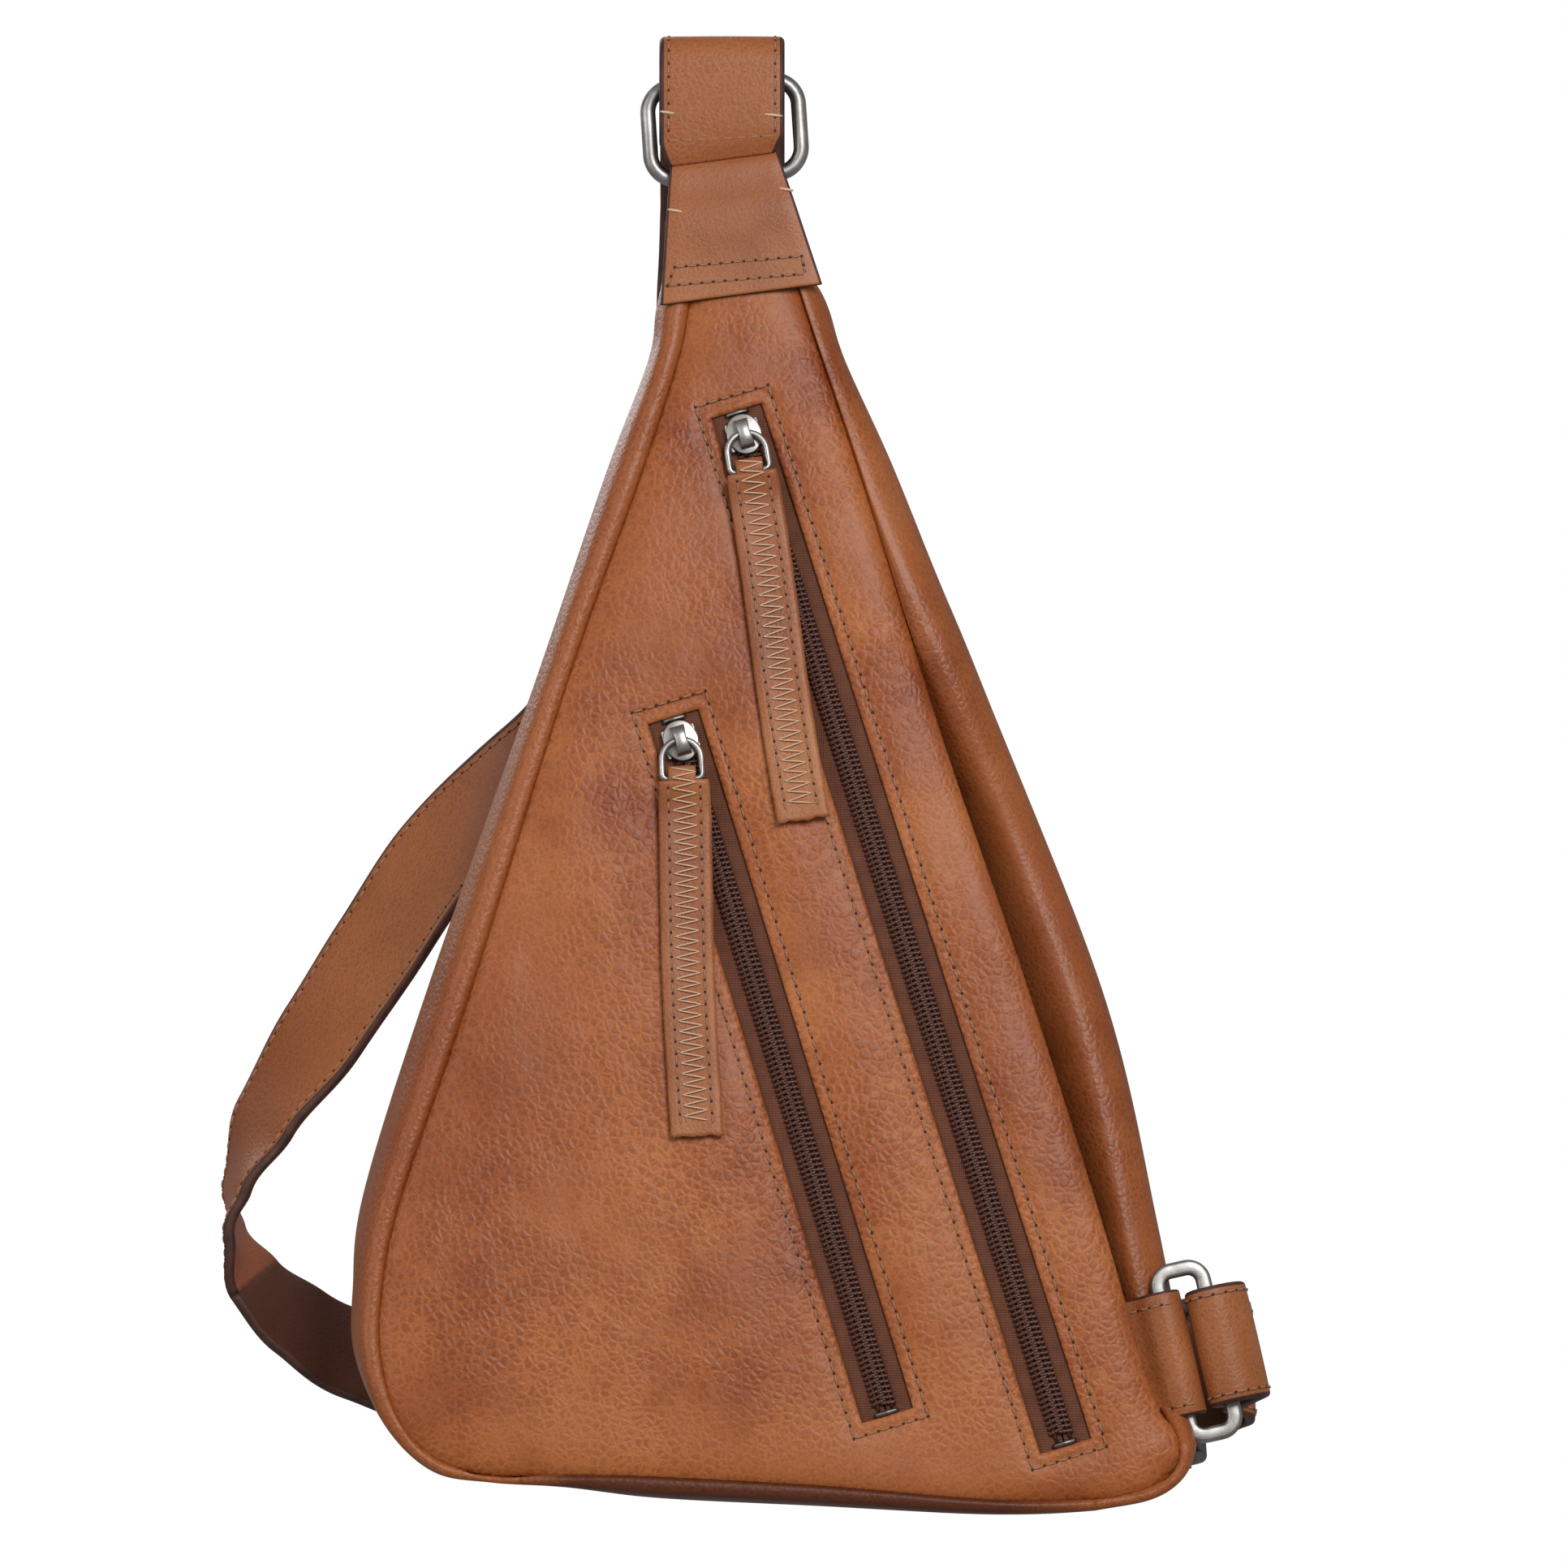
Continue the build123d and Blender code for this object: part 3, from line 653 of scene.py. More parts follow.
def build_front_panel():
    """The front as one sheet with two windows, rolled into its seams."""
    points = []
    edges = []

    def add_loop(loop):
        start = len(points)
        points.extend(loop)
        edges.extend((start + k, start + (k + 1) % len(loop)) for k in range(len(loop)))

    add_loop([(p.x, p.z) for p in outline_loop])
    for z_frame in zips.values():
        around = []
        for grow in (0.0, 0.5, 1.1, 2.0, 2.9, 3.6, 4.4, 5.6):
            half = WINDOW_HALF + grow
            y0, y1 = -z_frame.length - grow, grow
            rows = int((y1 - y0) / 3.0)
            loop = [(-half, y0 + (y1 - y0) * k / rows) for k in range(rows)]
            loop += [(-half + 2 * half * k / 8, y1) for k in range(8)]
            loop += [(half, y1 - (y1 - y0) * k / rows) for k in range(rows)]
            loop += [(half - 2 * half * k / 8, y0) for k in range(8)]
            shown = [z_frame.at(u, v, 0) for u, v in loop]
            if grow == 0.0:
                add_loop([(p.x, p.z) for p in shown])
            else:
                around += [(p.x, p.z) for p in shown]
        points.extend(around)
    for inset in (0.8, 1.8, 3.0, 4.6, 6.5):
        for k, p in enumerate(outline_loop):
            ahead = outline_loop[(k + 1) % len(outline_loop)]
            behind = outline_loop[k - 1]
            tangent = ahead - behind
            candidate = p + Vector((-tangent.z, 0, tangent.x)).normalized() * inset
            if distance_to(outline_loop[::2], candidate.x, candidate.z) > inset * 0.9:
                points.append((candidate.x, candidate.z))
    step = 2.6
    row = 0
    z = -436.0
    while z < TOP_Z:
        x = -112.0 + (step / 2 if row % 2 else 0)
        while x < 140:
            if window_distance(x, z) > 6.6:
                points.append((x, z))
            x += step
        z += step * 0.87
        row += 1
    verts2, _, faces, _, _, _ = delaunay_2d_cdt([Vector(p) for p in points], edges, [], 0, 1e-4)
    kept = []
    for face in faces:
        cx = sum(verts2[i].x for i in face) / len(face)
        cz = sum(verts2[i].y for i in face) / len(face)
        if point_inside(cx, cz) and window_distance(cx, cz) > 0:
            kept.append(tuple(face))
    outer = []
    for v in verts2:
        seam = distance_to(seam_curve, v.x, v.y)
        edge = distance_to(right_curve, v.x, v.y)
        outer.append(on_front(v.x, v.y, front_height(v.x, v.y, seam, edge)))
    count = len(outer)
    inner = [p - FRONT_NORMAL * LEATHER for p in outer]
    sides = {}
    for face in kept:
        for a, b in zip(face, face[1:] + face[:1]):
            sides[(a, b)] = sides.get((a, b), 0) + 1
    rim = [(a, b) for a, b in sides if (b, a) not in sides]
    all_faces = kept + [tuple(i + count for i in reversed(f)) for f in kept]
    slots = [0] * len(kept) + [2] * len(kept)
    for a, b in rim:
        all_faces.append((b, a, a + count, b + count))
        slots.append(1)
    obj = make_object("front_panel_leather", outer + inner, all_faces, LEATHER_SET, slots)
    bm = bmesh.new()
    bm.from_mesh(obj.data)
    loose = [v for v in bm.verts if not v.link_faces]
    bmesh.ops.delete(bm, geom=loose, context="VERTS")
    bm.to_mesh(obj.data)
    bm.free()
    rides([obj], "bag")
    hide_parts("front_panel")


def point_inside(x, z):
    """Whether a front-view point is inside the front panel's outline."""
    inside = False
    j = len(outline_loop) - 1
    for i, p in enumerate(outline_loop):
        q = outline_loop[j]
        if (p.z > z) != (q.z > z) and x < (q.x - p.x) * (z - p.z) / (q.z - p.z) + p.x:
            inside = not inside
        j = i
    return inside


# ---- gussets ----------------------------------------------------------------------------------


def gusset_row(seam, side, depth_in, fullness):
    """One section of a gusset: out of the front seam, round to the silhouette, and in to the back."""
    start = Vector((seam.x, front_y(seam.z, depth_in), seam.z))
    out = side - seam
    depth = BACK_Y - start.y
    belly = depth * 0.45
    swell = 2.3 * min(out.length / 6, 1)
    half = 13
    row = []
    for s in range(half + 1):
        angle = math.pi / 2 * s / half
        forward = swell * math.sin(math.pi * min(s / half * 1.7, 1)) ** 0.8
        row.append(start + out * math.sin(angle) + Vector((0, belly * (1 - math.cos(angle)) - forward, 0)))
    tuck = out.normalized() * fullness
    for s in range(1, half + 1):
        angle = math.pi / 2 * s / half
        wave = noise.noise(Vector((side.x * 0.025, side.z * 0.025, s * 0.2))) * 0.9 * math.sin(2 * angle)
        row.append(
            start + out - tuck * (1 - math.cos(angle)) + out.normalized() * wave
            + Vector((0, belly + (depth - belly) * math.sin(angle), 0))
        )
    return row


def build_gussets():
    """One band of leather round the left side, the bottom and the corner, in three pieces."""
    rows = []
    for p in seam_points:
        rows.append(gusset_row(Vector((p[0], 0, p[1])), Vector((p[2], 0, p[3])), 3.0, 2.0))
    turn = next(i for i, p in enumerate(seam_points) if p[0] > -60 and p[1] < -425)
    end = next(i for i, p in enumerate(seam_points) if p[0] > 113)
    left = thick_sheet("left_gusset_leather", rows[:turn + 1], LEATHER, [gusset_mat])
    bottom = thick_sheet("bottom_gusset_leather", rows[turn:end], LEATHER, [bottom_shade_mat])
    # Past the corner the band sinks behind the lower tab, into the foot of the slot.
    turned = []
    for p in corner_points:
        sink = min(max((p[1] + 424) / 16, 0), 1) * (p[0] > 120)
        turned.append(gusset_row(Vector((p[0], 0, p[1])), Vector((p[2], 0, p[3])), 3.0 + 13.0 * sink, 2.0))
    corner = thick_sheet("corner_gusset_leather", turned, LEATHER, [gusset_mat])
    rides([left, bottom, corner], "bag")
    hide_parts("left_gusset")
    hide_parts("bottom_gusset")


def curve_x(curve, z):
    """The x of a curve that runs down, at this height."""
    for a, b in zip(curve, curve[1:]):
        if a.z >= z >= b.z and a.z > b.z:
            return a.x + (b.x - a.x) * (a.z - z) / (a.z - b.z)
    return curve[0].x if z > curve[0].z else curve[-1].x


def build_right_side():
    """The right side in one piece: the neck's gusset, then the rear section's turned edge and wall."""
    count = 240
    heights = [TOP_Z + (SIDE_FOOT_Z - TOP_Z) * k / count for k in range(count + 1)]
    side = smooth_outline(RIGHT_SIDE, 600)
    panel = [p for p in right_curve if p.z > -420] + [Vector((134, 0, -440))]
    wall, flange = [], []
    for z in heights:
        silhouette = curve_x(side, z)
        edge = curve_x(panel, z)
        opening = min(max((SLOT_TOP_Z - 4 - z) / 85, 0), 1)
        opening = opening * opening * (3 - 2 * opening)
        close = min(max((z - SIDE_FOOT_Z) / 40, 0), 1)
        start_y = front_y(z, 3.0 + (FLANGE_DEPTH - 8.0) * opening * (0.45 + 0.55 * close))
        inner_x = edge - 5 * opening
        reach = silhouette - inner_x
        corner = min(11.0, reach * 0.92)
        depth = BACK_Y - start_y
        belly = min(depth * 0.5, corner)
        swell = 2.4 * (1 - opening)
        crease = 0.8 * noise.noise(Vector((3, 0, z * 0.045))) * opening
        row = []
        for s in range(9):
            t = s / 8
            forward = swell * math.sin(math.pi * min(t * 1.2, 1) * 0.5)
            bow = 1.8 * opening * math.sin(math.pi * t)
            sunk = 15.0 * opening * (1 - t) ** 1.15
            row.append(Vector((inner_x + (reach - corner) * t, start_y - forward - bow + sunk, z)))
        for s in range(1, 13):
            angle = math.pi / 2 * s / 12
            forward = swell * math.cos(angle)
            x = silhouette - corner + corner * math.sin(angle)
            row.append(Vector((x, start_y - forward + belly * (1 - math.cos(angle)), z)))
        for s in range(1, 15):
            t = s / 14
            tuck = 2.2 * t * t + crease * math.sin(math.pi * t)
            row.append(Vector((silhouette - tuck, start_y + belly + (depth - belly) * t, z)))
        wall.append(row)
        if z < SLOT_TOP_Z + 12:
            row = []
            for s in range(13):
                t = s / 12
                x = edge - 0.5 - 0.8 * t + 0.5 * math.sin(math.pi * t)
                row.append(Vector((x, front_y(z, 2.6 + (SECTION_DEPTH - 2.6) * t), z)))
            flange.append(row)
    piece = thick_sheet("right_gusset_leather", wall, LEATHER, [gusset_mat])
    edge_piece = thick_sheet("front_edge_leather", flange, LEATHER, [gusset_mat])
    rides([piece, edge_piece], "bag")
    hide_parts("right_gusset", "right_gusset_edge", "right_gusset_top")
    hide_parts("front_edge")


def build_back_panel():
    """The flat back, a sheet with softly rolled edges."""
    left = smooth_outline(BACK_LEFT, 160)
    right = smooth_outline(BACK_RIGHT, 160)
    rows = []
    for a, b in zip(left, right):
        row = []
        for s in range(61):
            t = s / 60
            p = a.lerp(b, t)
            sag = 0.0
            if 0.1 < t < 0.9:
                sag = noise.noise(Vector((p.x * 0.02, p.z * 0.02, 4))) * 0.5
            low = -436 - 7 * math.sin(math.pi * t)
            z = p.z if p.z > -428 else p.z + (low - p.z) * min((-428 - p.z) / 4, 1)
            edge = min(t, 1 - t) * (b.x - a.x)
            roll = 2.4 * math.exp(-edge / 2.0)
            row.append(Vector((p.x, BACK_Y - roll + sag * 0.4, z)))
        rows.append(row)
    piece = thick_sheet("back_panel_leather", rows, -LEATHER, [body_mat])
    rides([piece], "bag")
    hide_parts("back_panel")


# ---- stitches on the front --------------------------------------------------------------------


def front_point(x, z, lift=0.0):
    seam = distance_to(seam_curve, x, z)
    edge = distance_to(right_curve, x, z)
    return on_front(x, z, front_height(x, z, seam, edge) + lift)


def build_front_stitches():
    """Box stitching round both zip windows."""
    rows = Stitches()
    half = WINDOW_HALF + STITCH_OUT
    for z_frame in zips.values():
        corners = [
            (-half, STITCH_OUT + 1.2), (half, STITCH_OUT + 1.2),
            (half, -z_frame.length - STITCH_OUT), (-half, -z_frame.length - STITCH_OUT),
        ]
        for k in range(4):
            (u0, v0), (u1, v1) = corners[k], corners[(k + 1) % 4]
            steps = 60 if abs(v1 - v0) > 40 else 6
            line = []
            for s in range(steps + 1):
                p = z_frame.at(u0 + (u1 - u0) * s / steps, v0 + (v1 - v0) * s / steps, 0)
                line.append(front_point(p.x, p.z, 0.3))
            rows.run(line, lambda p: FRONT_NORMAL)
    rides(rows.build("front_stitch"), "bag")


# ---- zips -------------------------------------------------------------------------------------


def capsule(store, a, b, radius, sides=8):
    """A round-ended rod from a to b."""
    verts, faces = store
    along = (b - a).normalized()
    helper = Vector((0, 0, 1)) if abs(along.z) < 0.9 else Vector((1, 0, 0))
    u = along.cross(helper).normalized()
    v = along.cross(u)
    start = len(verts)
    rings = []
    for s in (-90, -50, -20, 0):
        rings.append((a, math.sin(math.radians(s)), math.cos(math.radians(s))))
    for s in (0, 20, 50, 90):
        rings.append((b, math.sin(math.radians(s)), math.cos(math.radians(s))))
    for centre, shift, size in rings:
        for k in range(sides):
            angle = 2 * math.pi * k / sides
            size_here = max(size, 0.06)
            verts.append(
                centre + along * (shift * radius) + u * (math.cos(angle) * radius * size_here)
                + v * (math.sin(angle) * radius * size_here)
            )
    close_rod(faces, len(rings), sides, start)


def tube(store, points, radius, sides=10):
    """A round tube through the points."""
    verts, faces = store
    start = len(verts)
    previous = None
    for i, p in enumerate(points):
        along = (points[min(i + 1, len(points) - 1)] - points[max(i - 1, 0)]).normalized()
        helper = previous or (Vector((0, 0, 1)) if abs(along.z) < 0.9 else Vector((1, 0, 0)))
        u = (helper - along * helper.dot(along)).normalized()
        previous = u
        v = along.cross(u)
        for k in range(sides):
            angle = 2 * math.pi * k / sides
            verts.append(p + u * (math.cos(angle) * radius) + v * (math.sin(angle) * radius))
    close_rod(faces, len(points), sides, start)


def build_zip(number):
    """Tapes, interlocked coils and end stops behind one window."""
    z_frame = zips[number]
    length = z_frame.length
    for side_name, sign in (("left", -1), ("right", 1)):
        grid = []
        rows = 160
        for r in range(rows + 1):
            y = 5.5 - (length + 11) * r / rows
            row = []
            for s in range(13):
                t = s / 12
                x = sign * (0.25 + 12.4 * t)
                ridge = 0.25 * math.exp(-((abs(x) - 4.6) / 0.5) ** 2)
                ridge += 0.2 * math.exp(-((abs(x) - 6.2) / 0.4) ** 2)
                row.append(z_frame.at(x, y, -2.15 + ridge if t < 0.6 else -2.35))
            grid.append(row if sign > 0 else row[::-1])
        tape = thick_sheet(f"zip_{number}_tape_{side_name}_cloth", grid, -0.5, [tape_mat])
        store = ([], [])
        pitch = 1.62
        count = int((length - 5) / pitch)
        for k in range(count):
            y = -2.6 - k * pitch - (pitch / 2 if sign > 0 else 0)
            heel, tip = z_frame.at(sign * 3.1, y - 0.28, -0.55), z_frame.at(sign * -0.35, y + 0.28, -0.45)
            capsule(store, heel, tip, 0.62)
            bend, foot = z_frame.at(sign * 3.15, y - 0.28, -0.7), z_frame.at(sign * 3.0, y - 0.9, -1.5)
            capsule(store, bend, foot, 0.55, 6)
        cord = [z_frame.at(sign * 2.1, -2 - (length - 4) * k / 80, -1.35) for k in range(81)]
        tube(store, cord, 0.6, 6)
        coil = make_object(f"zip_{number}_coil_{side_name}_teeth", *store, [coil_mat])
        rides([tape], "bag")
        rides([coil], "bag")
        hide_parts(f"zip_{number}_tape_{side_name}")
        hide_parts(f"zip_{number}_coil_{side_name}")
    # Thread that sews the coil to its tape.
    seams = Stitches()
    for x in (-4.7, 4.7):
        line = [z_frame.at(x, -1 - (length - 2) * k / 60, -1.95) for k in range(61)]
        seams.run(line, lambda p: FRONT_NORMAL, pitch=2.2, width=0.5, height=0.4, proud=0.05)
    seams.holes = ([], [])
    rides(seams.build(f"zip_{number}_seam", tape_mat), "bag")
    for where, y in (("top", -0.7), ("bottom", -length + 1.0)):
        store = ([], [])
        arch = [(-3.5 + 7.0 * k / 8, -0.9 + 0.9 * math.sin(math.pi * k / 8)) for k in range(9)]
        tube(store, [z_frame.at(x, y, z) for x, z in arch], 0.75)
        stop = make_object(f"zip_{number}_{where}_staple", *store, [dark_and_shaded_metal_mat])
        rides([stop], "bag")
        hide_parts(f"zip_{number}_{where}_stop")


def plate(name, outline, low, high, place, bevel=0.35):
    """A bevelled metal plate with the given outline, between two heights."""
    verts, faces = [], []
    count = len(outline)
    cx = sum(p[0] for p in outline) / count
    cy = sum(p[1] for p in outline) / count
    soft = bevel * 0.3
    layers = ((low, bevel), (low + bevel, 0), (high - bevel, 0), (high - soft, soft), (high, bevel))
    for z, inset in layers:
        for x, y in outline:
            d = math.hypot(x - cx, y - cy)
            verts.append(place(x - (x - cx) / d * inset, y - (y - cy) / d * inset, z))
    close_rod(faces, len(layers), count)
    return make_object(name, verts, faces, [nickel_mat])


def build_slider(number):
    """Zip slider: shield-shaped plate, side flanges, lower plate and pull bridge."""
    z_frame = zips[number]

    def place(x, y, z):
        return z_frame.at(x, y - SLIDER_DROP, z)

    shape = []
    for k in range(40):
        angle = 2 * math.pi * k / 40
        x = 5.4 * math.copysign(abs(math.cos(angle)) ** 0.8, math.cos(angle))
        y = 6.3 * math.sin(angle)
        if y > 0:
            x *= 1.0 - 0.06 * (y / 6.3)
        else:
            x *= 1.0 - 0.22 * (y / 6.3) ** 2
        shape.append((x, y))
    top = plate(f"slider_{number}_plate", shape, 0.62, 1.85, place)
    low = plate(f"slider_{number}_underplate", shape, -4.2, -3.1, place)
    wings = []
    for sign, side_name in ((-1, "left"), (1, "right")):
        strip = [(sign * x, y) for x, y in ((4.15, -4.5), (5.2, -4.2), (5.3, 0), (5.0, 4.2), (4.15, 4.5))]
        wings.append(plate(f"slider_{number}_wing_{side_name}", strip, -1.6, 0.9, place, 0.15))
    between = [(-0.55, 2.6), (0.55, 2.6), (0.55, 6.0), (-0.55, 6.0)]
    wedge = plate(f"slider_{number}_wedge", between, -3.3, 0.8, place, 0.1)
    arch = []
    for k in range(21):
        t = k / 20
        angle = math.pi * t
        arch.append((-4.6 * math.cos(angle), 1.5 + 4.3 * math.sin(angle) ** 0.7))
    verts, faces = [], []
    for y, z in arch:
        reach = math.hypot(y / 4.6, (z - 1.5) / 4.3)
        inner_y, inner_z = y * 0.74, 1.2 + (z - 1.5) * 0.78
        half = 2.2 - 0.5 * (1 - abs(y) / 4.6)
        for x, fy, fz in (
            (-half, inner_y, inner_z), (-half, y, z - 0.25), (-half + 0.35, y, z), (half - 0.35, y, z),
            (half, y, z - 0.25), (half, inner_y, inner_z),
        ):
            verts.append(place(x, fy, fz * min(reach, 1.0) if reach > 0 else fz))
    close_rod(faces, len(arch), 6)
    bridge = make_object(f"slider_{number}_bridge", verts, faces, [nickel_mat])
    pieces = [top, low, wedge, bridge] + wings
    rides(pieces, f"slider_{number}")
    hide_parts(f"slider_{number}")


def build_pull_ring(number):
    """Wire ring of the pull: an arch under the bridge, straight legs and a bar in the leather."""
    z_frame = zips[number]
    half, foot, corner = 6.0, -PULL_BAR_DROP, 1.6
    path = [(0, foot), (half - corner, foot)]
    path += [
        (half - corner + corner * math.sin(a), foot + corner - corner * math.cos(a))
        for a in (math.pi / 6, math.pi / 3, math.pi / 2)
    ]
    path.append((half, -8.5))
    path += [(half * math.cos(math.pi * k / 24), -6.0 + 6.0 * math.sin(math.pi * k / 24)) for k in range(13)]
    path += [(-x, y) for x, y in path[-2::-1]]
    store = ([], [])
    tube(store, [z_frame.pull_at(x, y, PULL_BAR_Z) for x, y in path], 1.0, 14)
    ring = make_object(f"pull_ring_{number}_wire", *store, [nickel_mat])
    rides([ring], f"pull_ring_{number}")
    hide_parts(f"pull_ring_{number}")


def build_pull(number):
    """Leather pull: tongue through the ring, strip with two stitch rows and a zigzag."""
    z_frame = zips[number]
    low = 2.5
    length = PULL_LENGTH
    curl = {1: 4.16, 2: 1.92}[number]
    twist = rng.uniform(-0.6, 0.6)

    def face(x, y, height=0.0):
        """A point over the pull's outer face, y below the ring's lower bar."""
        t = min(max((y - 5) / length, 0), 1)
        over_bar = 2.9 * math.exp(-((y / 6) ** 2))
        lift = low + 0.9 + over_bar + 1.6 * (t - 0.35) ** 2 + curl * max(t - 0.86, 0)
        cup = 0.45 * (x / 8) ** 2 + twist * 0.05 * x * t
        swing = 0.5 * math.sin(t * 5 + number)
        return z_frame.pull_at(x + swing, -PULL_BAR_DROP - y, lift + cup + height)

    columns = 15
    grid = []
    for r in range(91):
        t = r / 90
        y = 0.9 + (length + 3.6) * t
        half = 8.0 - 0.5 * math.exp(-(t * 30)) + 0.12 * noise.noise(Vector((t * 14, number, 0)))
        row = []
        for c in range(columns):
            u = -1 + 2 * c / (columns - 1)
            rough = 0.8 * noise.noise(Vector((u * 3, 7, number))) * (1 if t > 0.999 else 0)
            roll = -0.55 * abs(u) ** 8
            row.append(face(u * half, y + rough, roll))
        grid.append(row)
    strip = thick_sheet(f"leather_pull_{number}_strip", grid, 1.5, [tab_mat])
    tongue_grid = []
    top = low + 3.45
    bar = PULL_BAR_Z
    profile = [
        (4.0, top - 2.0), (1.5, top - 1.0), (-0.7, top - 0.35), (-2.0, top - 0.6), (-2.9, top - 1.3),
        (-3.2, bar + 0.4), (-3.0, bar - 0.6), (-2.2, bar - 1.3), (-0.8, bar - 1.7), (3.0, low - 0.5),
        (9.0, low - 0.7),
    ]
    profile = [(p.x, p.y) for p in smooth_points([(y, z, 0) for y, z in profile], 26)]
    for y, z in profile:
        tongue_grid.append([z_frame.pull_at(4.1 * (c / 4 - 1), -PULL_BAR_DROP - y, z) for c in range(9)])
    tongue = thick_sheet(f"leather_pull_{number}_tongue", tongue_grid, 0.8, [tab_mat])
    rows = Stitches()
    for x in (-4.85, 4.85):
        line = [face(x, 3.0 + (length - 1.5) * k / 60, 0.05) for k in range(61)]
        rows.run(line, lambda p: FRONT_NORMAL, pitch=3.7)
    zigzag = Stitches()
    count = int((length + 3.2) / 1.6)
    for k in range(count):
        side = 3.75 if k % 2 else -3.75
        y = -3.2 + k * 1.6
        lift_here = 0.4 if y > -1 else 0.1
        zigzag.single(face(side, y, lift_here), face(-side, y + 1.6, lift_here), FRONT_NORMAL, 0.5, 0.5)
    threads = zigzag.build(f"leather_pull_{number}_zigzag", pale_thread_mat)
    pieces = [strip, tongue] + rows.build(f"leather_pull_{number}_rows") + threads
    rides(pieces, f"leather_pull_{number}")
    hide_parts(f"leather_pull_{number}")


# ---- strap ------------------------------------------------------------------------------------


def edge_stitches(stations, sewn, reach, lift):
    """Rows along both edges of the sewn part of a strip, this far from its middle line and sheet."""

    def normal_at(point):
        return min(stations, key=lambda s: (s[0] - point).length)[2]

    rows = Stitches()
    for sign in (-1, 1):
        line = [p + along.cross(normal) * (sign * reach) + normal * lift for p, along, normal, _ in sewn]
        rows.run(line, normal_at)
    return rows


def pale_threads(name, ends, normal):
    """Short pale threads, each tied over an edge."""
    threads = Stitches()
    for a, b in ends:
        threads.single(a, b, normal, 0.9, 0.8)
    return threads.build(name, pale_thread_mat)


def build_strap():
    """The long strap in two visible halves."""
    stations = frames_along(STRAP_RUN, 420)
    split = next(i for i, s in enumerate(stations) if s[0].x > -147 and s[0].z < -366)
    halves = {"upper": stations[:split + 1], "lower": stations[split:]}
    bends = {
        "upper": (Vector((0, 16, -48)), Vector((-34, 22, -190))),
        "lower": (Vector((159, 0, -402)), Vector((60, 24, -416))),
    }
    # The lower half's inner face is painted shade; the upper half's is the tan of the strap.
    under = {"upper": strap_mat, "lower": inner_face_and_shade_mat}
    for name, part in halves.items():
        materials = [strap_mat, edge_mat, under[name]]
        piece = ribbon(f"strap_{name}", part, lambda t: (STRAP_HALF, STRAP_HALF), STRAP_THICK, materials)
        rows = edge_stitches(part, part, STRAP_HALF - STRAP_STITCH_IN, STRAP_THICK / 2 + 0.1)
        pieces = [piece] + rows.build(f"strap_{name}_stitch")
        start, end = bends[name]
        for each in pieces:
            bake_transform(each)
        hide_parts("strap")


def profile_strip(name, path, place, half_width, thickness, materials, count, side=1):
    """A strip bent along a side profile, with its outer face on the chosen side of the path."""
    stations = []
    points = smooth_points([(p[0], p[1], 0) for p in path], count)
    for i, (p, walked) in enumerate(zip(points, running_length(points))):
        ahead, behind = points[min(i + 1, count - 1)], points[max(i - 1, 0)]
        t2 = (ahead - behind).normalized()
        n2 = Vector((t2.y, -t2.x, 0)) * side
        stations.append((place(p.x, p.y), place(t2.x, t2.y, True), place(n2.x, n2.y, True), walked))
    return ribbon(name, stations, half_width, thickness, materials, crown=0.15), stations


def build_strap_loop():
    """The strap's top fold over the ring, with its sewn-down end."""
    path = [
        (-4.4, -34.0), (-5.7, -30.0), (-6.2, -24.0), (-6.0, -15.0), (-5.6, -8.0), (-5.1, -3.0), (-3.3, 0.5),
        (0, 1.9), (3.3, 0.5), (5.1, -3.0), (5.4, -9.0), (5.6, -16.0), (8.2, -25.0), (11.0, -34.0),
        (14.2, -43.0), (15.9, -47.5), (17.9, -52.5),
    ]

    def place(depth, up, direction=False):
        return Vector((0, depth, up)) if direction else Vector((0.2, depth, up))

    def half_width(t):
        half = LOOP_HALF - 2.6 * max(1 - t / 0.06, 0)
        return (half, half)

    piece, stations = profile_strip(
        "strap_loop_fold", path, place, half_width, STRAP_THICK, STRAP_SET, 140, side=-1
    )
    # The sewn-down end leans with the top of the neck tab that it runs down to.
    for vertex in piece.data.vertices:
        if vertex.co.y < 0:
            vertex.co.z += TAB_SLOPE * vertex.co.x * min(max((-24 * MM - vertex.co.z) / (8 * MM), 0), 1)
    sewn = stations[12:]
    rows = edge_stitches(sewn, sewn, LOOP_HALF - STRAP_STITCH_IN, STRAP_THICK / 2 + 0.1)
    across = [Vector((-16.2 + 32.4 * k / 8, -7.7, -29.0 + 0.2 * k)) for k in range(9)]
    rows.run(across, lambda p: Vector((0, -1, 0)))
    ends = [
        (Vector((x0, -8.2, z)), Vector((x1, -8.2, z - 0.6)))
        for x0, x1, z in ((-18.8, -14.2, -20.0), (13.2, 18.8, -20.8))
    ]
    threads = pale_threads("strap_loop_bars", ends, Vector((0, -1, 0)))
    pieces = [piece] + rows.build("strap_loop_stitch") + threads
    rides(pieces, "bag")
    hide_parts("strap_loop")


def neck_cap():
    """A small domed cap that closes the top of the neck, between the tab's two ends."""
    grid = []
    for r in range(9):
        v = -1 + r / 4
        row = []
        for c in range(17):
            u = -1 + c / 8
            dome = 2.5 * (1 - v * v) * (1 - u ** 4)
            y = 2 + 10.5 * v * (1 - 0.6 * u ** 4)
            row.append(Vector((4.5 + 16.5 * u, y, -65.5 + TAB_SLOPE * 16.5 * u + dome)))
        grid.append(row)
    return thick_sheet("neck_cap_leather", grid, 1.5, [gusset_mat])


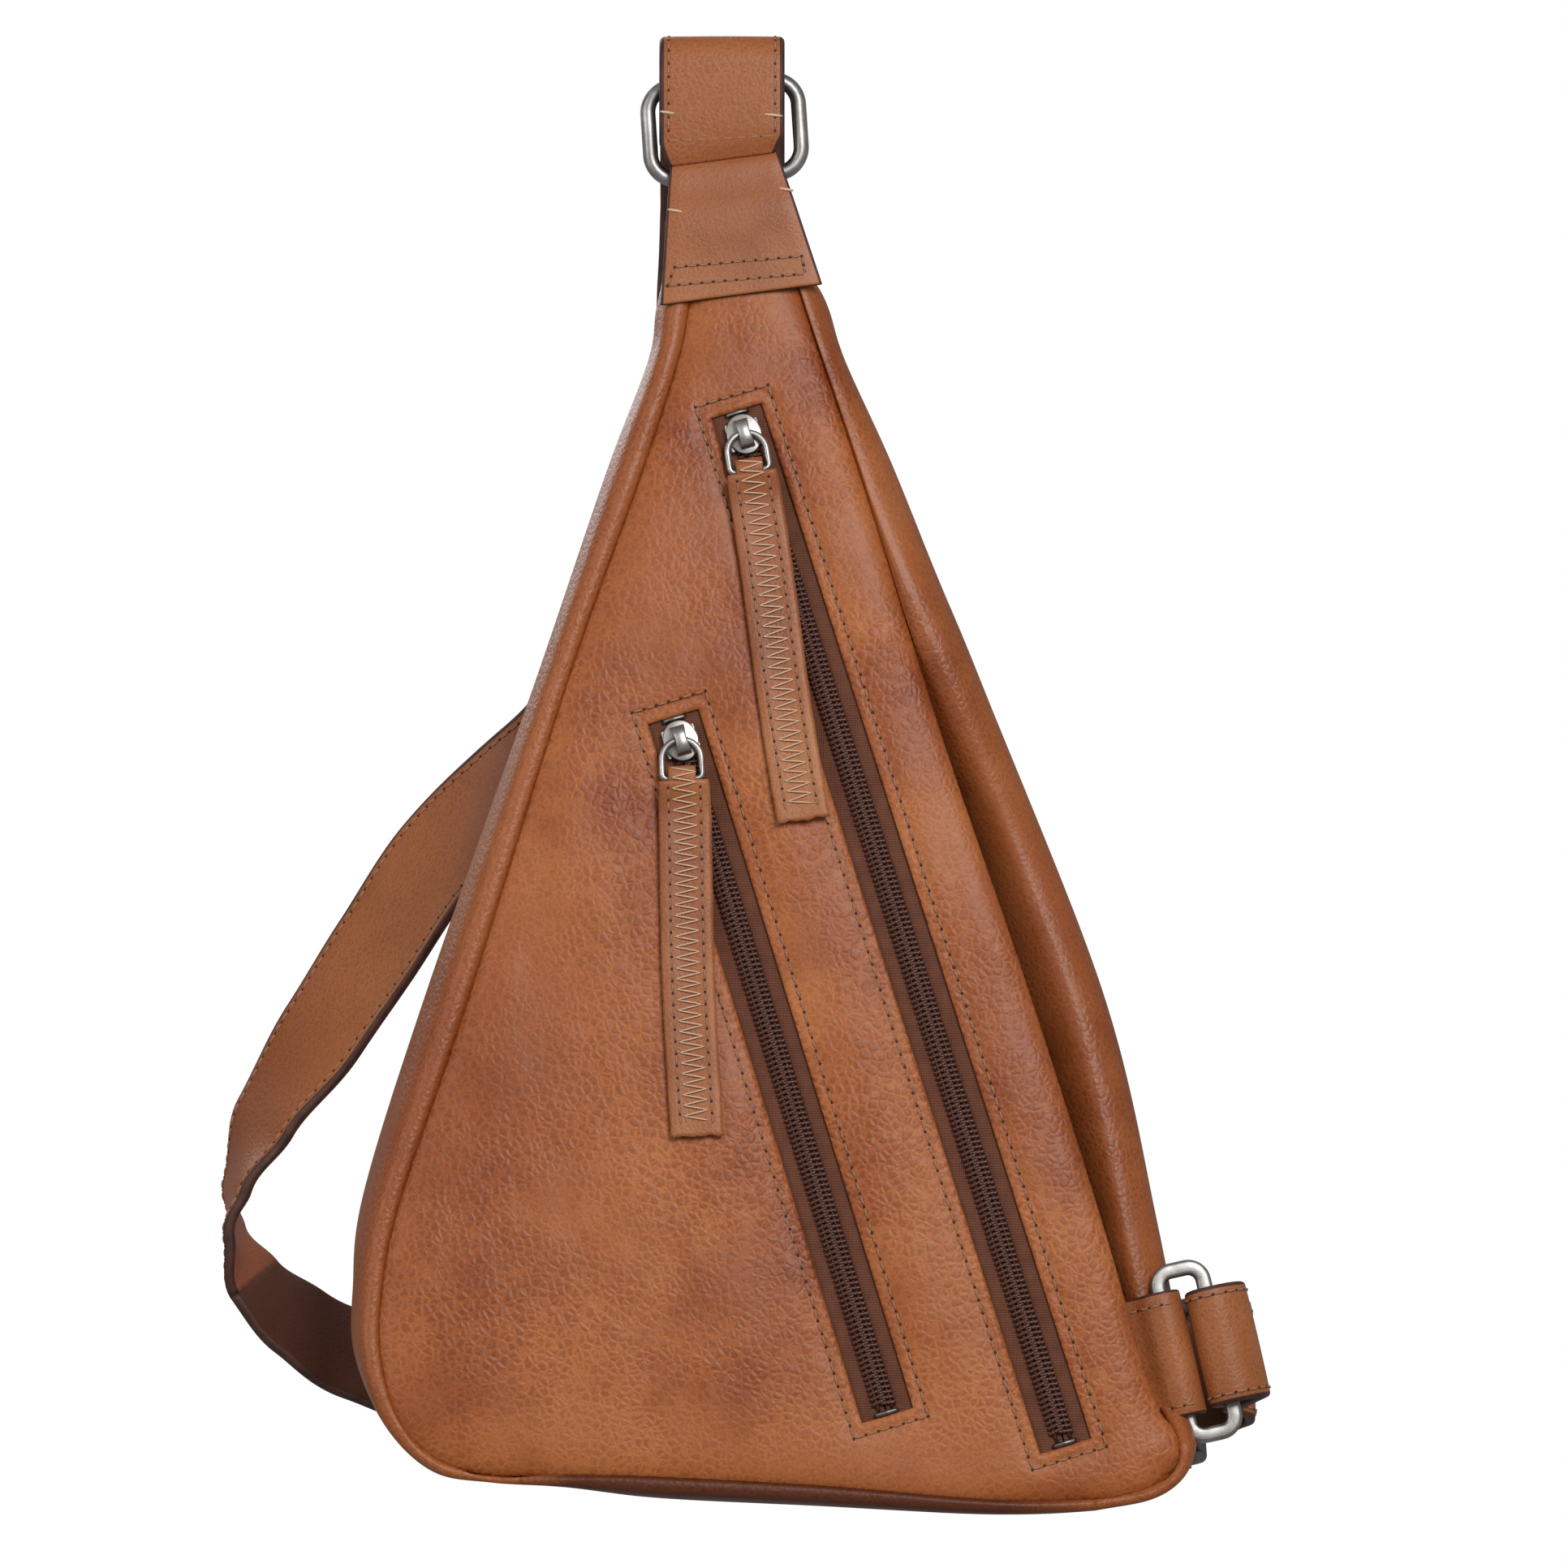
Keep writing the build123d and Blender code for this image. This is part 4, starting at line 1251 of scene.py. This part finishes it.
def build_neck_tab():
    """The tab folded round the top ring's lower bar and sewn over the neck."""
    centre = -39.3
    path = [(front_y(-76) - 1.5, -77.0), (front_y(-66) - 1.7, -65.0), (-8.9, -52.0), (-6.9, -43.0)]
    for k in range(1, 8):
        angle = math.pi - math.pi * k / 8
        path.append((6.3 * math.cos(angle), centre + 6.3 * math.sin(angle)))
    path += [(6.9, -43.0), (9.4, -53.0), (10.2, -64.0), (10.4, -76.0)]

    def place(depth, up, direction=False):
        if direction:
            return Vector((0, depth, up))
        return Vector((5.6 * min(max((-up - 33) / 44, 0), 1) + 0.6, depth, up))

    def half_width(t):
        front = max(1 - t / 0.46, 0)
        return (16.4 + 8.3 * front, 16.4 + 8.3 * front)

    materials = [tab_mat, edge_mat, inner_face_and_shade_mat]
    piece, stations = profile_strip("neck_tab_fold", path, place, half_width, 2.0, materials, 120, side=-1)
    for vertex in piece.data.vertices:
        vertex.co.z += vertex.co.x * TAB_SLOPE
    rows = Stitches()

    def tab_point(x, z):
        nearest = min(stations[:50], key=lambda s: abs(s[0].z + x * TAB_SLOPE - z))
        return Vector((x, nearest[0].y - 1.25, z))

    def line(x0, z0, x1, z1, steps=10):
        return [tab_point(x0 + (x1 - x0) * k / steps, z0 + (z1 - z0) * k / steps) for k in range(steps + 1)]

    top_left, top_right, low_left, low_right = (-14.2, -67.8), (24.6, -64.4), (-16.4, -73.5), (25.8, -69.8)
    for a, b in ((top_left, top_right), (low_left, low_right), (low_left, top_left), (top_right, low_right)):
        rows.run(line(*a, *b), lambda p: TAB_OUT, pitch=3.6)
    ends = [
        (tab_point(x0, z), tab_point(x1, z - 0.8))
        for x0, x1, z in ((-16.4, -11.8, -50.0), (17.8, 22.2, -43.5))
    ]
    threads = pale_threads("neck_tab_bars", ends, TAB_OUT)
    pieces = [piece, neck_cap()] + rows.build("neck_tab_stitch") + threads
    rides(pieces, "bag")
    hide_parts("neck_tab")


# ---- lower ring, tab and strap end ------------------------------------------------------------

RING_AT = Vector((143.0, front_y(-396.0, SECTION_DEPTH + 1.0), -396.0))
BAR_DOWN = Vector((math.sin(RING_LEAN), 0, -math.cos(RING_LEAN)))
BAR_DOWN = (BAR_DOWN - FRONT_NORMAL * BAR_DOWN.dot(FRONT_NORMAL)).normalized()
RING_ACROSS = -BAR_DOWN.cross(FRONT_NORMAL)
# From the ring's middle to the middle of the leather round each long bar.
BAR_OUT = (RING_WIDE - 5.0) / 2


def across_bars(x, back, direction=False):
    """A point in the profile across the ring's bars, or a direction there."""
    offset = RING_ACROSS * x - FRONT_NORMAL * back
    return offset if direction else RING_AT + offset


def build_lower_tab():
    """The tab sewn to the bag's corner and folded round the ring's inner bar."""
    path = [(-27.0, -0.4), (-20.0, -0.6), (-BAR_OUT - 8, -1.6), (-BAR_OUT - 3.6, -4.2), (-BAR_OUT, -5.0),
            (-BAR_OUT + 3.4, -3.6), (-BAR_OUT + 4.9, 0), (-BAR_OUT + 3.6, 3.8), (-BAR_OUT, 5.0),
            (-BAR_OUT - 6, 3.6), (-BAR_OUT - 14, 3.2)]
    widths = (19.4, 18.6)
    piece, stations = profile_strip(
        "lower_tab_fold", path, across_bars, lambda t: widths, 1.9, STRAP_SET, 110
    )
    rows = edge_stitches(stations, stations[2:52], 15.4, 1.1)
    pieces = [piece] + rows.build("lower_tab_stitch")
    rides(pieces, "bag")
    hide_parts("lower_tab")


def build_strap_end():
    """The strap's end folded round the ring's outer bar, back onto itself."""
    round_bar = [
        (1.2, 40.0), (0.8, 24.0), (-0.2, 11.0), (-3.4, 4.0), (-5.0, -0.5), (-3.2, -4.6), (1.0, -6.2),
        (5.8, -5.2), (9.6, -1.6), (11.0, 4.0), (9.4, 14.0), (7.0, 26.0), (5.6, 38.0), (5.4, 42.5),
    ]
    path = [(BAR_OUT + x, back) for x, back in round_bar]
    widths = (17.8, 17.8)
    piece, stations = profile_strip(
        "strap_end_fold", path, across_bars, lambda t: widths, STRAP_THICK - 0.6, STRAP_SET, 150
    )
    rows = edge_stitches(stations, stations[30:], 15.0, 1.65)
    pieces = [piece] + rows.build("strap_end_stitch")
    rides(pieces, "bag")
    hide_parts("strap_end_loop")


def flat_ring(name, place, half_wide, half_long, corner, wide, thick, material):
    """A flat-faced rounded rectangle of metal, place(x, y, z) giving its own frame."""
    path = []
    for cx, cy, start in (
        (half_wide - corner, half_long - corner, 0), (corner - half_wide, half_long - corner, 90),
        (corner - half_wide, corner - half_long, 180), (half_wide - corner, corner - half_long, 270),
    ):
        for k in range(9):
            angle = math.radians(start + 90 * k / 8)
            path.append((cx, cy, angle))
    bevel = min(wide, thick) * 0.3
    section = []
    for sx, sz in ((1, 1), (-1, 1), (-1, -1), (1, -1)):
        for k in range(4):
            angle = math.atan2(sz, sx) + math.radians(-45 + 30 * k)
            out = sx * (wide / 2 - bevel) + bevel * math.cos(angle)
            section.append((out, sz * (thick / 2 - bevel) + bevel * math.sin(angle)))
    verts = []
    for cx, cy, angle in path:
        for out, z in section:
            reach = corner + out
            verts.append(place(cx + reach * math.cos(angle), cy + reach * math.sin(angle), z))
    rows, columns = len(path), len(section)
    faces = grid_faces(rows, columns, 0, wrap=True)
    last = (rows - 1) * columns
    faces += [(last + c, last + (c + 1) % columns, (c + 1) % columns, c) for c in range(columns)]
    return make_object(name, verts, faces, [material])


def build_lower_ring():
    """The oblong ring between the lower tab and the strap's end."""

    def place(x, y, z):
        return RING_AT + RING_ACROSS * x - BAR_DOWN * y + FRONT_NORMAL * z

    half_wide, half_long = (RING_WIDE - RING_WIRE) / 2, (RING_LONG - RING_WIRE) / 2
    ring = flat_ring("lower_ring_band", place, half_wide, half_long, RING_WIRE, RING_WIRE, 4.0, nickel_mat)
    rides([ring], "lower_ring")
    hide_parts("lower_ring")


def build_tri_glide():
    """The strap's adjuster: three bars between two waved rails."""
    centre = Vector((138, 24, -411.5))
    along = (Vector((146, 24, -409.6)) - Vector((90, 24, -413.5))).normalized()
    across = Vector((0, 1, 0)).cross(along)

    def place(x, y, side):
        return centre + along * x + across * y + Vector((0, side, 0))

    store = ([], [])
    for side in (-1, 1):
        rail = side * GLIDE_HALF
        wave = []
        for k in range(-8, 9):
            angle = math.pi * k / 8
            wave.append((GLIDE_PITCH * math.sin(angle / 2), -GLIDE_DEPTH * math.cos(angle)))
        tube(store, [place(x, rail, y) for x, y in wave], GLIDE_WIRE, 12)
        for x, y in (wave[0], wave[-1]):
            capsule(store, place(x - 0.01, rail, y), place(x + 0.01, rail, y), GLIDE_WIRE, 12)
    for x, depth in ((-GLIDE_PITCH, GLIDE_DEPTH), (0, -GLIDE_DEPTH), (GLIDE_PITCH, GLIDE_DEPTH)):
        capsule(store, place(x, -GLIDE_HALF, depth), place(x, GLIDE_HALF, depth), GLIDE_WIRE, 12)
    # The frame takes the darker metal as painted shade, hanging in the strap's shadow.
    glide = make_object("tri_glide_frame", *store, [dark_and_shaded_metal_mat])
    rides([glide], "tri_glide")
    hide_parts("tri_glide")


def build_lining():
    """Pocket lining behind the front panel, and the wall between its pockets."""
    rows = []
    left = smooth_points([(p[0] + 3.4, 0, p[1]) for p in SEAM_AND_SIDE[:11]], 90)
    right = smooth_points([(x - 3.2, 0, z) for x, z in FRONT_RIGHT[:7]], 90)
    for a, c in zip(left[8:-3], right[8:-3]):
        row = []
        for s in range(31):
            p = a.lerp(c, s / 30)
            sag = 0.6 * noise.noise(Vector((p.x * 0.05, p.z * 0.05, 2)))
            row.append(Vector((p.x, front_y(p.z, 10.6 + sag), p.z)))
        rows.append(row)
    piece = thick_sheet("pocket_lining_cloth", rows, 0.8, [lining_mat])
    grid = []
    for k in range(60):
        t = k / 59
        x, z = -2 + 66 * t, -205 - 223 * t
        grid.append([Vector((x + 0.5, front_y(z, 3.2 + 7.0 * s / 5), z)) for s in range(6)])
    wall = thick_sheet("pocket_partition_cloth", grid, 0.8, [lining_mat])
    rides([piece, wall], "bag")
    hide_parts("front_lining")
    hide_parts("pocket_partition")


build_front_panel()
build_gussets()
build_right_side()
build_back_panel()
for number in zips:
    build_zip(number)
    build_slider(number)
    build_pull_ring(number)
    build_pull(number)
build_front_stitches()
build_strap()
build_strap_loop()
build_neck_tab()
build_lower_tab()
build_strap_end()
build_lower_ring()
build_tri_glide()
build_lining()

# ---- carried-over metal -----------------------------------------------------------------------------------

for slot in bpy.data.objects["top_ring"].material_slots:
    slot.material = nickel_mat

# ---- stage ------------------------------------------------------------------------------------


def build_stage():
    """A plain white surround, soft lights and the camera."""
    world = bpy.data.worlds.new("studio")
    world.use_nodes = True
    tree = world.node_tree
    background = tree.nodes["Background"]
    background.inputs["Color"].default_value = (1, 1, 1, 1)
    rays = tree.nodes.new("ShaderNodeLightPath")
    # The surround is white to the camera and a soft grey as a light.
    strength = tree.nodes.new("ShaderNodeMapRange")
    strength.inputs["To Min"].default_value = 0.24
    strength.inputs["To Max"].default_value = 1.0
    tree.links.new(rays.outputs["Is Camera Ray"], strength.inputs["Value"])
    tree.links.new(strength.outputs["Result"], background.inputs["Strength"])
    bpy.context.scene.world = world
    bpy.context.scene.view_settings.view_transform = "Standard"

    def area(name, at, aim, size, power):
        light = bpy.data.lights.new(name, "AREA")
        light.size = size
        light.energy = power
        obj = bpy.data.objects.new(name, light)
        obj.location = at
        obj.rotation_euler = (Vector(aim) - Vector(at)).to_track_quat("-Z", "Y").to_euler()
        bpy.context.scene.collection.objects.link(obj)

    middle = (0, 0, -0.24)
    area("key", (0.5, -1.5, 0.5), middle, 0.6, 17)
    area("fill", (-1.3, -1.2, 0.2), middle, 0.9, 7)
    area("back", (-0.6, 1.3, 0.6), middle, 1.0, 10)
    camera = bpy.data.cameras.new("camera")
    camera.lens = 170
    camera.sensor_width = 36
    obj = bpy.data.objects.new("camera", camera)
    # The square frame is this wide at the bag's front, and its middle is here, in metres.
    view_width = 0.4747
    middle_x, middle_y, middle_z = 0.0192, -0.03, -0.2256
    distance = view_width * camera.lens / camera.sensor_width
    obj.location = (middle_x, middle_y - distance, middle_z)
    obj.rotation_euler = (math.pi / 2, 0, 0)
    bpy.context.scene.collection.objects.link(obj)
    bpy.context.scene.camera = obj


build_stage()
